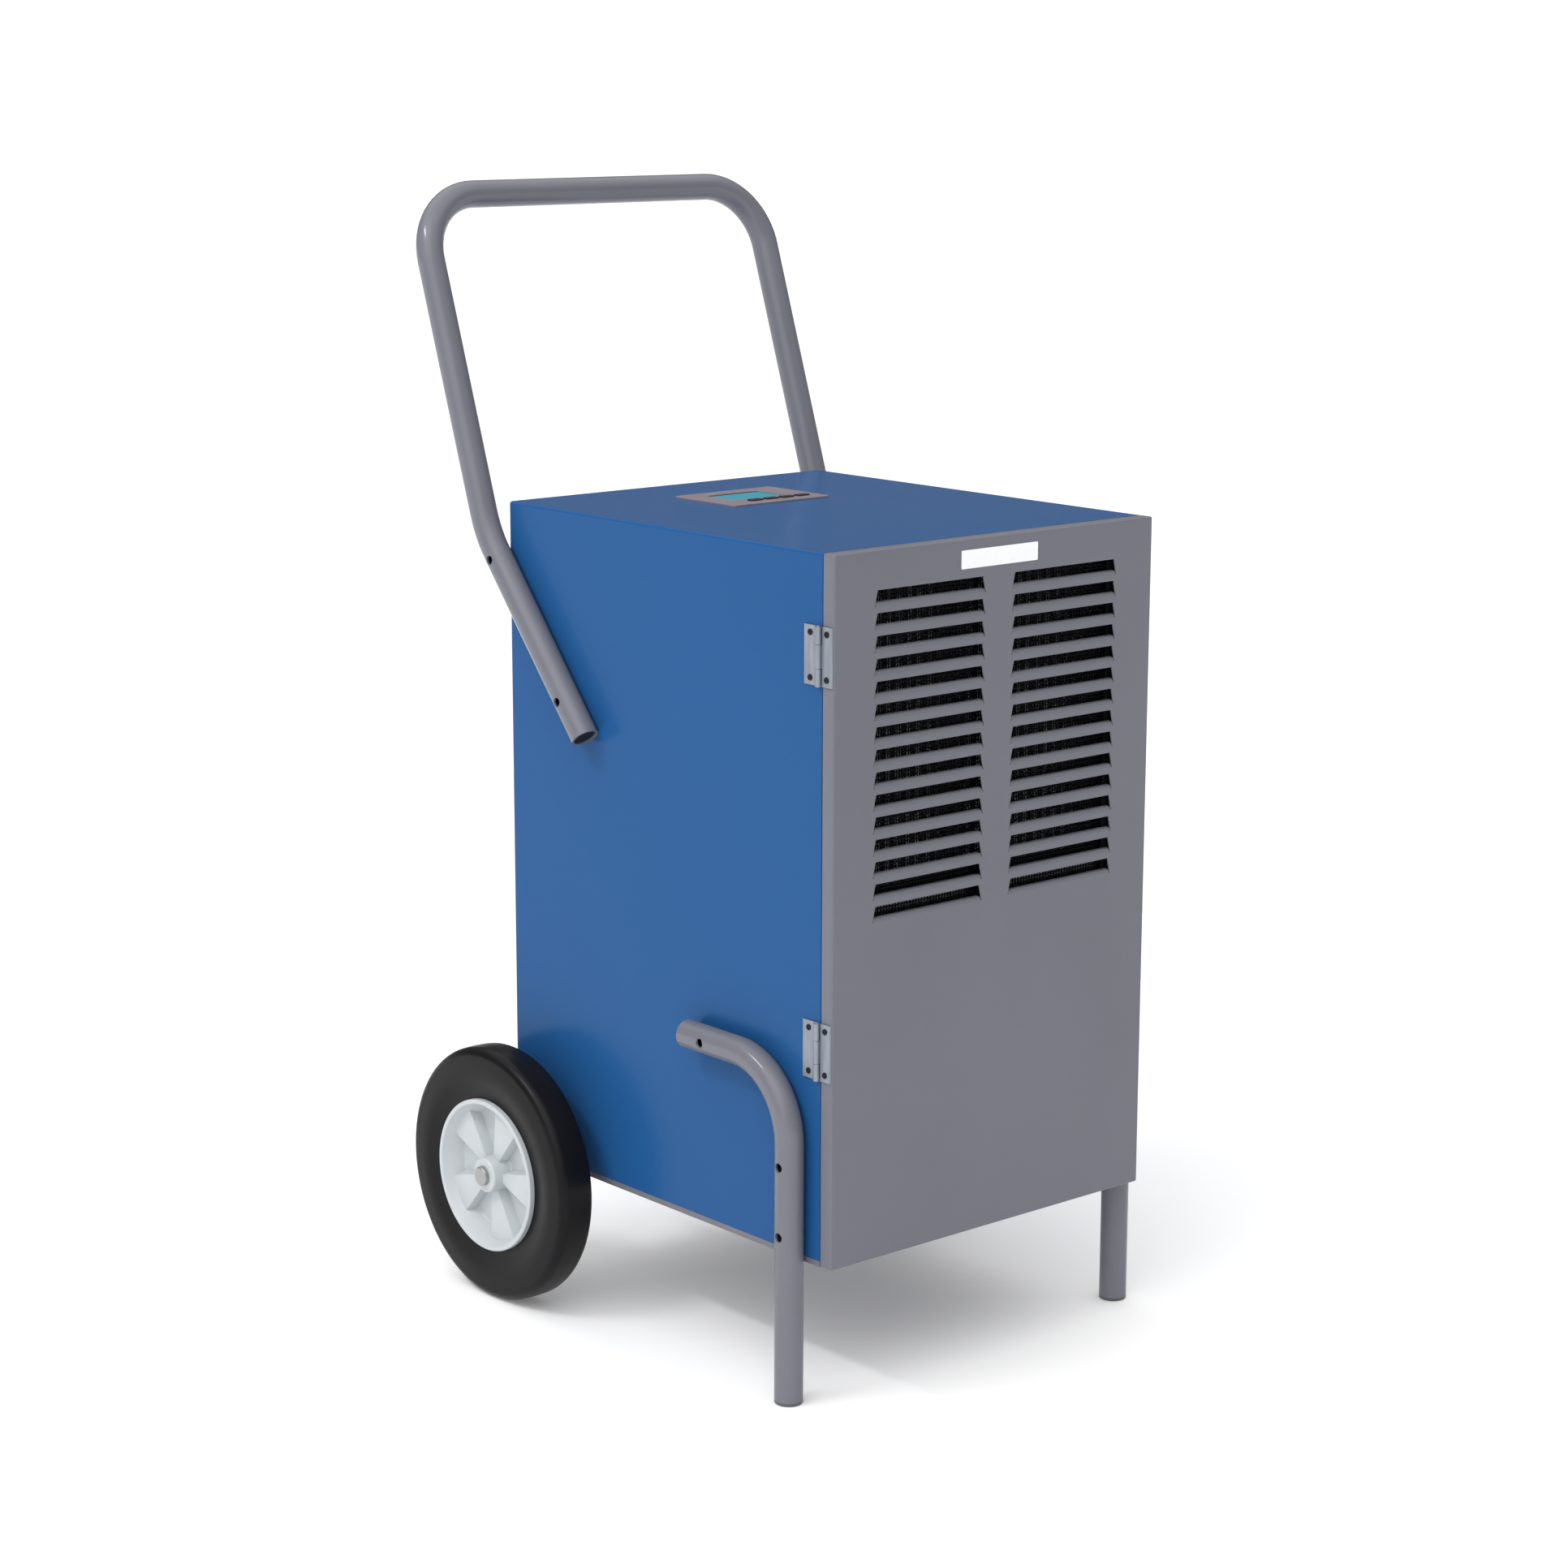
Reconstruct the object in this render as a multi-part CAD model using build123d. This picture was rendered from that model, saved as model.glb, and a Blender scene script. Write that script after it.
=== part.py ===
from build123d import *
import os
from math import atan2, cos, degrees, radians, sin, sqrt

# Wheeled commercial dehumidifier: a folded-steel cabinet on two tube legs and two wheels,
# with a push handle, a hinged front door, a water tank bay and a small refrigeration plant.
# Row frame, millimetres: +Z up, +X to the right seen from the front, the door faces -Y,
# z = 0 on the floor, x = 0 on the centre line, y = 0 half way along the whole machine.

# --- overall sizes
cabinet_width = 355.0
cabinet_depth = 426.0           # door face to back face
cabinet_height = 582.0
ground_clearance = 120.0
overall_height = 970.0          # floor to the top of the handle
handle_overhang = 120.0         # how far the grip stands behind the back face

# --- sheet metal
sheet = 1.2
side_fold = 2.5                 # outside radius of the folds along the top edges
rear_fold = 4.0                 # outside radius of the rear upright folds
rear_flange = 16.0
base_edge = 5.0                 # height of the base pan's edge that shows under the sides
base_sheet = 2.0
slip = 0.2                      # gap between sheets that slide into each other
seam = 0.8                      # gap between the door and the cabinet
cut = 5.0                       # how far a cutting tool runs past the face it cuts
frame_return = 20.0             # depth of the front frame's side flanges
window_foot = 12.0              # land of the front frame under the coil window
window_head = 24.0              # land over it
mouth_side = 6.0                # how much wider the tank mouth is than the coils, each side
mouth_foot = 8.0
pan_upstand = 12.0              # height of the base pan's upstand above its edge
pan_front_gap = 30.0            # the upstand starts this far behind the wrap's front edge

# --- back panel and its fittings
back_margin = 9.0               # screw centres inside the cabinet's top and bottom edges
back_side_margin = 11.0
panel_corner = 3.0
outlet_rows = 12
drain_x = -110.0
drain_height = 60.0             # above the cabinet's bottom
spout_radius = 8.0
spout_bore = 5.5
spout_length = 24.0
spout_flange = 5.0
spout_inside = 14.0
gland_x = 120.0
gland_height = 70.0
gland_radius = 11.0
gland_bore = 4.5
gland_length = 18.0
gland_nut = 8.0
gland_thread = 8.0
gland_inside = 12.0

# --- tubes
tube_radius = 12.0
tube_wall = 2.0
tube_gap = 0.15                 # paint gap between a tube and the side face
leg_setback = 37.5              # leg centre line behind the door face
leg_bend = 65.0
leg_rise = 165.0                # height of the level run above the cabinet's bottom
leg_reach = 167.5               # rear end of the level run behind the door face
leg_screw_heights = (24.0, 83.0)
leg_screw_setback = 137.5
handle_end_back = 123.0         # lower end: this far in front of the back face
handle_end_drop = 188.0         # and this far below the top face
handle_knee_back = 11.5         # knee: this far behind the back face
handle_knee_drop = 29.0         # and this far below the top face
handle_knee_bend = 100.0
handle_corner_bend = 58.0
handle_screws = (37.0, 182.0)   # distances up the tube from its lower end
foot_thickness = 3.0
foot_stem = 14.0
plug_inset = 1.0
plug_length = 8.0

# --- screws that hold the tubes
screw_radius = 2.1
screw_head_radius = 3.6
screw_head = 3.0
screw_reach = 9.0               # how far a tip stands inside the cabinet's side face
cross_length = 4.0
cross_width = 0.9
cross_depth = 1.0
hole_clearance = 0.1
access_hole = 4.0

# --- wheels
wheel_radius = 113.5
wheel_setback = 395.5           # axle behind the door face
tyre_width = 37.0
tyre_standoff = 20.0            # side face to the tyre's inner side wall
tyre_shoulder = 13.0
axle_end = 5.5                  # how far an axle cap stands outside the tyre
rim_radius = 68.0
rim_wall = 4.0
rim_lip = 1.0                   # how far the rim stands outside the tyre
web_standoff = 34.0             # side face to the inside of the wheel's web
web_thickness = 4.0
dish_slope = 9.0                # how much smaller the dish is at the web than at the rim
spoke_count = 5
spoke_angle = 40.4
spoke_height = 9.0
spoke_half_inner = 5.5
spoke_half_outer = 15.0
hub_boss_radius = 15.5
boss_inside = 1.5               # how far the boss stands inside the tyre's inner side wall
cap_gap = 0.6                   # end play between the boss and the axle cap
bush_wall = 2.0
axle_radius = 5.0
running_clearance = 0.05
fixed_clearance = 0.02
axle_cap_radius = 8.5
axle_cap = 3.2
cap_lap = 2.0                   # how far the cap reaches over the axle's end
bracket_inset = 62.0            # bracket centre inside the side face
bracket_width = 26.0
bracket_half_length = 30.0
bracket_plate = 3.0
bracket_ear = 5.0
bracket_bolt_edge = 8.0
bolt_head_radius = 4.6
bolt_head = 3.0
spacer_wall = 3.0

# --- door
door_depth = 13.0
door_corner = 2.0
louvre_rows = 15
louvre_pitch = 18.2
louvre_drop = 31.8              # top edge of the first row under the cabinet's top
louvre_clear = 9.6              # clear height of one louvre
louvre_curl = 3.5               # outside radius of the curled lip
louvre_tail = 2.0
louvre_top_width = 114.2
louvre_width = 118.6
louvre_offset = 75.0            # column centre from the centre line
plate_width = 85.0
plate_height = 15.0
plate_thickness = 0.5
plate_drop = 16.4               # plate's centre under the cabinet's top
filter_inner = 132.0            # half width of the filter's clear opening
filter_border = 14.0
filter_front = 7.6
filter_thickness = 4.6
filter_edge = 8.0               # clear space of the filter over and under the louvres
filter_lap = 6.0
filter_bar = 3.0
filter_ledge = 2.2              # depth of the bars' seat
mesh_thickness = 0.8
clip_reach = 6.0
clip_half_height = 5.0
clip_inset = 30.0
seal_width = 5.0
seal_gap = 0.3
seal_inset = 15.0
seal_end_inset = 7.0
magnet_size = (10.0, 40.0)
magnet_end_inset = 90.0

# --- hinges
hinge_height = 47.6
hinge_foot = 181.0              # lower hinge's centre above the cabinet's bottom
hinge_drop = 81.0               # upper hinge's centre under its top
hinge_leaf = 1.5
hinge_axis_out = 2.8            # pin axis outside the side face
hinge_axis_back = 15.6          # pin axis behind the door face
knuckle_radius = 2.6
knuckle_gap = 0.3
knuckle_share = 0.4             # half of the middle knuckle as a share of half the hinge
hinge_pin_radius = 1.4
hinge_rear_edge = 33.7
hinge_front_edge = 1.2
hinge_screw_radius = 1.6
hinge_head_radius = 2.6
hinge_screw_spread = 18.0
cabinet_hinge_screws = 26.5     # screw line behind the door face
door_hinge_screws = 7.0

# --- control panel on the top
panel_width = 108.0
panel_length = 82.0
panel_setback = 309.0
panel_rim = 1.6
panel_body = 14.0
panel_wall = 2.0
panel_flange = 4.0
display_size = (57.0, 38.0)
display_shift = (-4.0, 4.0)
display_sink = 0.6
lens_thickness = 1.6
button_count = 4
button_pitch = 17.5
button_size = (13.5, 7.0)
button_rise = 1.2
button_travel = 1.0
button_row = (8.0, -26.0)       # centre of the button row from the panel's centre
button_clearance = 0.25
button_flange = 1.2
board_thickness = 1.6
board_margin = 10.0
board_lift = 3.0                # board's face above the bottom of the bezel's well

# --- inside
shelf_height = 280.0            # coil shelf above the cabinet's bottom
bay_depth = 200.0               # bay wall behind the door face
coil_side_gap = 29.5            # from the cabinet's side face to the coils
coil_thickness = 38.0
coil_gap = 8.0
coil_setback = 30.0
coil_base_gap = 22.0
coil_top_gap = 20.0
coil_end = 2.0                  # thickness of the end plates
coil_stub = 7.0                 # how far the coil's tubes stand out past the fins
fin_count = 36
fin_thickness = 0.8
coil_tube_radius = 4.5
coil_tube_rows = 6
tray_depth = 14.0
tray_wall = 2.0
tray_margin = 4.0               # how much wider the tray is than the coils, each side
drain_drop = 22.0               # how far the tray's drain stands under the shelf
tank_wall = 2.5
tank_gap = 6.0
tank_front_gap = 8.0
tank_foot_gap = 3.0
tank_top_gap = 44.0
tank_corner = 9.0
tank_rim = 3.0
tank_rim_height = 4.0
grip_half = 55.0
grip_low = 40.0                 # under the tank's rim
grip_high = 14.0
float_radius = 16.0
float_height = 24.0
float_rod = 3.0
float_inset = 30.0
float_back = 26.0
switch_half = (12.0, 9.0)
switch_gap = 8.0                # switch over the tank's rim
compressor_radius = 72.0
compressor_height = 225.0
compressor_wall = 4.0
compressor_dome = 34.0
compressor_x = -62.0
compressor_setback = 306.0
seam_drop = 62.0
seam_height = 6.0
foot_reach = 16.0               # mount centres outside the compressor's shell
foot_height = 14.0
foot_plate = 4.0
foot_radius = 12.0
shell_gap = 6.0                 # shell's bottom above the mounting plate's seat
stud_radius = 4.0
grommet_wall = 7.0
grommet_neck = 3.0
grommet_rise = 5.0
nut_radius = 8.0
nut_height = 6.0
fan_radius = 108.0
fan_tip_gap = 3.0
fan_hub = 30.0
fan_blades = 5
fan_stand = 26.0                # centre of the blades behind the condenser
blade_thickness = 2.4
blade_chord = 44.0
blade_twist = 28.0
blade_root = 6.0
motor_radius = 40.0
motor_length = 62.0
motor_gap = 18.0                # centre of the blades to the motor's face
arm_width = 14.0
arm_thickness = 2.5
cradle_depth = 14.0
shaft_radius = 4.0
pipe_radius = 4.0
pipe_wall = 1.0
pipe_bends = [6, 12, 14, 8]
pipe_out = 16.0                 # riser centre line outside the coils
pipe_start = 7.5
pipe_rise = 18.0                # pipe joint above the lowest coil tube
pipe_shelf_gap = 8.0
pipe_clear = 12.0               # half height of the notches that the pipes pass through
box_left = 42.0                 # electrics box: left wall
box_side_gap = 14.0
box_end_gap = 34.0
box_height = 190.0
box_foot = 7.0
box_foot_width = 12.0
box_wall = 2.0

# --- places worked out from the sizes above
half = cabinet_width / 2
louvre_top = cabinet_height - louvre_drop
hinge_centres = (hinge_foot, cabinet_height - hinge_drop)
coil_half = half - coil_side_gap
front_y = (plate_thickness - cabinet_depth - handle_overhang) / 2
back_y = front_y + cabinet_depth
base_z = ground_clearance
top_z = base_z + cabinet_height
wrap_front = front_y + door_depth + seam
wrap_back = back_y - sheet
wrap_base = base_z + base_edge
inside = half - sheet - slip    # half width that fits between the side sheets
lining = inside - sheet - slip  # half width that fits between the pan's upstands
tube_x = half + tube_gap + tube_radius
tube_bore = tube_radius - tube_wall
head_seat = tube_x - sqrt(tube_bore**2 - screw_head_radius**2) + hole_clearance
wheel_y = front_y + wheel_setback
wheel_x = half + tyre_standoff
rim_outside = wheel_x + tyre_width + rim_lip
axle_reach = wheel_x + tyre_width + axle_end
cap_x = axle_reach - axle_cap
shelf_z = base_z + shelf_height
bay_y = front_y + bay_depth
hinge_x = -half - hinge_axis_out
hinge_y = front_y + hinge_axis_back
panel_y = front_y + panel_setback
drain_z = base_z + drain_height
gland_z = base_z + gland_height
compressor_y = front_y + compressor_setback
foot_seat = base_z + base_sheet + foot_height
shell_low = foot_seat + shell_gap
shell_high = shell_low + compressor_height
board_top = top_z - panel_body + board_lift
under_bezel = top_z + panel_rim - panel_wall
evaporator_y = front_y + coil_setback + coil_thickness / 2
condenser_y = evaporator_y + coil_thickness + coil_gap
coil_rear = condenser_y + coil_thickness / 2
coil_foot = shelf_z + sheet + tray_depth
coil_low = shelf_z + coil_base_gap
coil_high = top_z - coil_top_gap
fan_y = coil_rear + fan_stand
fan_z = (coil_low + coil_high) / 2
pipe_level = shelf_z - pipe_radius - pipe_shelf_gap


def block(x0, x1, y0, y1, z0, z1):
    return Pos((x0 + x1) / 2, (y0 + y1) / 2, (z0 + z1) / 2) * Box(x1 - x0, y1 - y0, z1 - z0)


def rod_x(x0, x1, y, z, radius):
    return Pos((x0 + x1) / 2, y, z) * Rot(0, 90, 0) * Cylinder(radius, abs(x1 - x0))


def rod_y(x, y0, y1, z, radius):
    return Pos(x, (y0 + y1) / 2, z) * Rot(90, 0, 0) * Cylinder(radius, abs(y1 - y0))


def rod_z(x, y, z0, z1, radius):
    return Pos(x, y, (z0 + z1) / 2) * Cylinder(radius, abs(z1 - z0))


def group(shapes):
    return Compound([solid for shape in shapes for solid in shape.solids()])


def both_sides(shape):
    return group([shape, shape.mirror(Plane.YZ)])


def bent_tube(points, radii, outer, inner=0.0):
    path = FilletPolyline(*points, radius=radii)
    start = Plane(origin=path @ 0, z_dir=path % 0)
    section = start * Circle(outer)
    if inner:
        section -= start * Circle(inner)
    return sweep(section, path)


def rounded_block(x, y, z0, z1, width, length, corner):
    return Pos(x, y, z0) * extrude(RectangleRounded(width, length, corner), z1 - z0)


# --- cabinet sheet metal

def folded_block(width, y0, y1, z0, z1, upright, level):
    """A block with rounded rear uprights and a rounded top rim, open forms are cut from two."""
    body = block(-width, width, y0, y1, z0, z1)
    body = fillet(body.edges().filter_by(Axis.Z).group_by(Axis.Y)[-1], upright)
    rim = body.faces().sort_by(Axis.Z)[-1].edges()
    front = rim.sort_by(Axis.Y)[0]
    return fillet([edge for edge in rim if (edge @ 0.5).Y > (front @ 0.5).Y + sheet], level)


def cabinet_wrap():
    outer = folded_block(half, wrap_front, wrap_back, wrap_base, top_z, rear_fold, side_fold)
    hollow = folded_block(
        half - sheet, wrap_front - cut, wrap_back - sheet, wrap_base - cut, top_z - sheet,
        rear_fold - sheet, side_fold - sheet,
    )
    window = block(
        rear_flange - half, half - rear_flange, wrap_back - cut, back_y,
        wrap_base + rear_flange, top_z - rear_flange,
    )
    wrap = outer - hollow - window - panel_window() - back_screw_holes(cut)
    for side in (-1, 1):
        for y, z in leg_screw_places() + handle_screw_places():
            wrap -= rod_x(
                side * (half - cut), side * (half + cut), y, z, screw_radius + hole_clearance
            )
    return wrap - hinge_screw_holes(cabinet_hinge_screws)


def base_pan():
    plate = block(-half, half, wrap_front, wrap_back, base_z, base_z + base_sheet)
    edge = block(-half, half, wrap_front, wrap_back, base_z, wrap_base - slip)
    edge -= block(
        sheet - half, half - sheet, wrap_front - cut, wrap_back - sheet, base_z, wrap_base
    )
    upstand = block(
        -inside, inside, wrap_front + pan_front_gap, wrap_back - sheet - slip,
        base_z, wrap_base + pan_upstand,
    )
    upstand = chamfer(
        upstand.edges().filter_by(Axis.Z).group_by(Axis.Y)[-1], rear_fold - sheet
    )
    upstand -= block(
        sheet - inside, inside - sheet, wrap_front, wrap_back - 2 * sheet - slip,
        base_z - cut, wrap_base + pan_upstand + cut,
    )
    pan = plate + edge + upstand - back_screw_holes(rear_flange)
    for x, y in compressor_feet():
        pan -= rod_z(x, y, base_z - cut, base_z + cut, stud_radius + hole_clearance)
    for x, y in bracket_bolts():
        pan -= rod_z(x, y, base_z - cut, base_z + cut, screw_radius + hole_clearance)
    return pan


def front_frame():
    low = base_z + base_sheet + slip
    high = top_z - sheet - slip
    frame = cut_corner_block(inside, wrap_front, wrap_front + frame_return, low, high)
    frame -= cut_corner_block(
        inside - sheet, wrap_front + sheet, wrap_front + frame_return + cut,
        low + sheet, high - sheet,
    )
    frame -= block(
        -coil_half, coil_half, wrap_front - cut, wrap_front + cut,
        shelf_z + window_foot, top_z - window_head,
    )
    frame -= block(
        -coil_half - mouth_side, coil_half + mouth_side, wrap_front - cut, wrap_front + cut,
        low + mouth_foot, shelf_z - window_foot,
    )
    return frame - hinge_screw_holes(cabinet_hinge_screws)


def cut_corner_block(width, y0, y1, z0, z1):
    """A block whose two top corners are cut to clear the folds of the cabinet wrap."""
    body = block(-width, width, y0, y1, z0, z1)
    return chamfer(body.edges().filter_by(Axis.Y).group_by(Axis.Z)[-1], side_fold)


def coil_shelf():
    plate = block(
        -lining, lining, wrap_front + frame_return + slip, bay_y + sheet,
        shelf_z, shelf_z + sheet,
    )
    drain = rod_z(0, evaporator_y, shelf_z - cut, shelf_z + cut, spout_radius + 1)
    return plate - drain - pipe_notch(
        evaporator_y - pipe_clear, condenser_y + pipe_clear, shelf_z - cut, shelf_z + cut
    )


def bay_wall():
    wall = block(
        -lining, lining, bay_y, bay_y + sheet, base_z + base_sheet, shelf_z
    )
    return wall - pipe_notch(
        bay_y - cut, bay_y + cut, pipe_level - pipe_clear, shelf_z + cut
    )


def pipe_notch(y0, y1, z0, z1):
    """Room at both ends of a sheet for the pipes that run down beside the coils."""
    return both_sides(block(coil_half + tray_margin, half, y0, y1, z0, z1))


# --- louvred sheets

def louvre_cut(x, face_y, top):
    """A slot that is wider at its foot, through the sheet whose outer face is at face_y."""
    low = top - louvre_clear - louvre_curl
    flare = (louvre_width - louvre_top_width) / 2 / louvre_clear
    wide = louvre_width / 2 + flare * louvre_curl
    narrow = louvre_top_width / 2
    outline = Polyline(
        (x - wide, low), (x + wide, low), (x + narrow, top), (x - narrow, top), close=True
    )
    slot = extrude(Plane.XZ * make_face(outline), cut, both=True)
    return Pos(0, face_y, 0) * slot


def louvre_lip(x, face_y, top, inward):
    """The land under a slot curls inward through a quarter turn and ends in a level tail."""
    low = top - louvre_clear - louvre_curl
    centre_y = face_y + inward * louvre_curl
    left = x - louvre_width / 2
    right = x + louvre_width / 2
    curl = rod_x(left, right, centre_y, low, louvre_curl)
    curl -= rod_x(left - 1, right + 1, centre_y, low, louvre_curl - sheet)
    near = min(face_y, centre_y)
    far = max(face_y, centre_y)
    curl &= block(left, right, near, far, low, low + louvre_curl)
    tail_y = sorted((centre_y, centre_y + inward * louvre_tail))
    return curl + block(left, right, *tail_y, low + louvre_curl - sheet, low + louvre_curl)


def louvred(plate, face_y, first_top, rows, inward):
    cuts = []
    lips = []
    for row in range(rows):
        top = first_top - row * louvre_pitch
        for x in (-louvre_offset, louvre_offset):
            cuts.append(louvre_cut(x, face_y, top))
            lips.append(louvre_lip(x, face_y, top, inward))
    return plate - cuts + lips


# --- back panel and its fittings

def back_screw_spots():
    rows = (wrap_base + back_margin, (wrap_base + top_z) / 2, top_z - back_margin)
    return [(side * (half - back_side_margin), z) for side in (-1, 1) for z in rows]


def back_screw_holes(depth):
    return [
        rod_y(x, wrap_back - depth, back_y + cut, z, screw_radius + hole_clearance)
        for x, z in back_screw_spots()
    ]


def back_panel():
    width = 2 * (half - rear_fold)
    height = top_z - wrap_base - 2 * rear_fold
    outline = Pos(0, (wrap_base + top_z) / 2) * RectangleRounded(width, height, panel_corner)
    plate = Pos(0, wrap_back, 0) * extrude(Plane.XZ * outline, -sheet)
    plate = louvred(plate, back_y, base_z + louvre_top, outlet_rows, -1)
    plate -= back_screw_holes(cut)
    plate -= rod_y(drain_x, wrap_back - cut, back_y + cut, drain_z, spout_radius + hole_clearance)
    return plate - rod_y(
        gland_x, wrap_back - cut, back_y + cut, gland_z, gland_thread + hole_clearance
    )


def drain_spout():
    start = back_y - spout_inside
    end = back_y + spout_length
    spout = rod_y(drain_x, start, end, drain_z, spout_radius)
    spout += rod_y(drain_x, back_y, back_y + 4, drain_z, spout_radius + spout_flange)
    return spout - rod_y(drain_x, start - cut, end + cut, drain_z, spout_bore)


def mains_gland():
    start = back_y - gland_inside
    end = back_y + gland_length
    nut = Pos(gland_x, back_y + gland_nut, gland_z) * Rot(90, 0, 0) * extrude(
        RegularPolygon(gland_radius, 6), gland_nut
    )
    dome = rod_y(gland_x, back_y + gland_nut, end, gland_z, gland_radius - 2)
    dome = fillet(dome.faces().sort_by(Axis.Y)[-1].edges(), 3)
    gland = nut + dome + rod_y(gland_x, start, back_y + 1, gland_z, gland_thread)
    return gland - rod_y(gland_x, start - cut, end + cut, gland_z, gland_bore)


# --- legs, handle and their screws

def leg_screw_places():
    upright = [(front_y + leg_setback, base_z + z) for z in leg_screw_heights]
    return upright + [(front_y + leg_screw_setback, base_z + leg_rise)]


def handle_low_end():
    return back_y - handle_end_back, top_z - handle_end_drop


def handle_knee():
    return back_y + handle_knee_back, top_z - handle_knee_drop


def handle_slope():
    (y0, z0), (y1, z1) = handle_low_end(), handle_knee()
    return atan2(z1 - z0, y1 - y0)


def handle_screw_places():
    y, z = handle_low_end()
    slope = handle_slope()
    return [(y + d * cos(slope), z + d * sin(slope)) for d in handle_screws]


def drilled(tube, side, places):
    for y, z in places:
        tube -= rod_x(side * tube_x, side * (tube_x + 2 * tube_radius), y, z, access_hole)
        tube -= rod_x(side * half, side * tube_x, y, z, screw_radius + hole_clearance)
    return tube


def leg(side):
    x = side * tube_x
    y = front_y + leg_setback
    level = base_z + leg_rise
    route = [(x, y, foot_thickness), (x, y, level), (x, front_y + leg_reach, level)]
    tube = bent_tube(route, leg_bend, tube_radius, tube_bore)
    return drilled(tube, side, leg_screw_places())


def handle_frame():
    end = handle_low_end()
    knee = handle_knee()
    grip = (back_y + handle_overhang - tube_radius, overall_height - tube_radius)
    route = [(-tube_x, *end), (-tube_x, *knee), (-tube_x, *grip)]
    route += [(tube_x, *grip), (tube_x, *knee), (tube_x, *end)]
    bends = [handle_knee_bend, handle_corner_bend, handle_corner_bend, handle_knee_bend]
    tube = bent_tube(route, bends, tube_radius, tube_bore)
    for side in (-1, 1):
        tube = drilled(tube, side, handle_screw_places())
    return tube


def leg_feet():
    y = front_y + leg_setback
    foot = rod_z(tube_x, y, 0, foot_thickness, tube_radius)
    foot = fillet(foot.faces().sort_by(Axis.Z)[0].edges(), foot_thickness - 1)
    stem = rod_z(
        tube_x, y, foot_thickness, foot_thickness + foot_stem, tube_bore - hole_clearance
    )
    return both_sides(foot + stem)


def tube_plugs():
    plug = Cylinder(tube_bore - hole_clearance, plug_length)
    plug = fillet(plug.faces().sort_by(Axis.Z)[0].edges(), 1)
    y, z = handle_low_end()
    slope = handle_slope()
    deep = plug_inset + plug_length / 2
    place = Pos(tube_x, y + deep * cos(slope), z + deep * sin(slope))
    low = place * Rot(degrees(slope) - 90, 0, 0) * plug
    rear = Pos(tube_x, front_y + leg_reach - deep, base_z + leg_rise) * Rot(90, 0, 0) * plug
    return group([both_sides(low), both_sides(rear)])


def tube_screws():
    shank = rod_x(half - screw_reach, head_seat, 0, 0, screw_radius)
    pan_head = rod_x(head_seat, head_seat + screw_head, 0, 0, screw_head_radius)
    pan_head = fillet(pan_head.faces().sort_by(Axis.X)[-1].edges(), 1)
    for width, height in ((cross_length, cross_width), (cross_width, cross_length)):
        pan_head -= Pos(head_seat + screw_head, 0, 0) * Box(2 * cross_depth, width, height)
    places = leg_screw_places() + handle_screw_places()
    return both_sides(group([Pos(0, y, z) * (pan_head + shank) for y, z in places]))


def back_screws():
    """The same pan-head screw as the tubes have, from behind."""
    shank = rod_y(0, back_y - screw_reach, back_y, 0, screw_radius)
    pan_head = rod_y(0, back_y, back_y + screw_head, 0, screw_head_radius)
    pan_head = fillet(pan_head.faces().sort_by(Axis.Y)[-1].edges(), 1)
    for width, height in ((cross_length, cross_width), (cross_width, cross_length)):
        pan_head -= Pos(0, back_y + screw_head, 0) * Box(width, 2 * cross_depth, height)
    return group([Pos(x, 0, z) * (pan_head + shank) for x, z in back_screw_spots()])


def cabinet_screws():
    return group([tube_screws(), back_screws()])


# --- axle and wheels

def axle():
    rod = rod_x(-cap_x, cap_x, wheel_y, wheel_radius, axle_radius)
    return chamfer(rod.edges().filter_by(GeomType.CIRCLE), 0.5)


def bracket_bolts():
    x = half - bracket_inset
    reach = bracket_half_length - bracket_bolt_edge
    return [(side * x, wheel_y + end * reach) for side in (-1, 1) for end in (-1, 1)]


def axle_brackets():
    x0 = half - bracket_inset - bracket_width / 2
    x1 = x0 + bracket_width
    ear = axle_radius + bracket_ear
    body = rod_x(x0, x1, wheel_y, wheel_radius, ear)
    body += block(x0, x1, wheel_y - ear, wheel_y + ear, wheel_radius, base_z)
    body += block(
        x0, x1, wheel_y - bracket_half_length, wheel_y + bracket_half_length,
        base_z - bracket_plate, base_z,
    )
    body &= block(x0, x1, wheel_y - half, wheel_y + half, 0, base_z)
    body -= rod_x(x0 - cut, x1 + cut, wheel_y, wheel_radius, axle_radius + fixed_clearance)
    for x, y in bracket_bolts():
        body -= rod_z(x, y, base_z - 2 * cut, base_z + cut, screw_radius + hole_clearance)
    return both_sides(body)


def bracket_screws():
    screws = []
    seat = base_z - bracket_plate
    for x, y in bracket_bolts():
        head = Pos(x, y, seat - bolt_head) * extrude(
            RegularPolygon(bolt_head_radius, 6), bolt_head
        )
        tip = base_z + base_sheet + box_foot - 3
        screws.append(head + rod_z(x, y, seat, tip, screw_radius))
    return group(screws)


def axle_spacers():
    x0 = half + 0.5
    x1 = wheel_x - 3
    sleeve = rod_x(x0, x1, wheel_y, wheel_radius, axle_radius + spacer_wall)
    sleeve -= rod_x(x0 - cut, x1 + cut, wheel_y, wheel_radius, axle_radius + fixed_clearance)
    return both_sides(sleeve)


def axle_caps():
    cap = rod_x(cap_x - cap_lap, axle_reach, wheel_y, wheel_radius, axle_cap_radius)
    cap = fillet(cap.faces().sort_by(Axis.X)[-1].edges(), 1.5)
    cap -= rod_x(cap_x - cut, cap_x, wheel_y, wheel_radius, axle_radius + fixed_clearance)
    return both_sides(cap)


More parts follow.
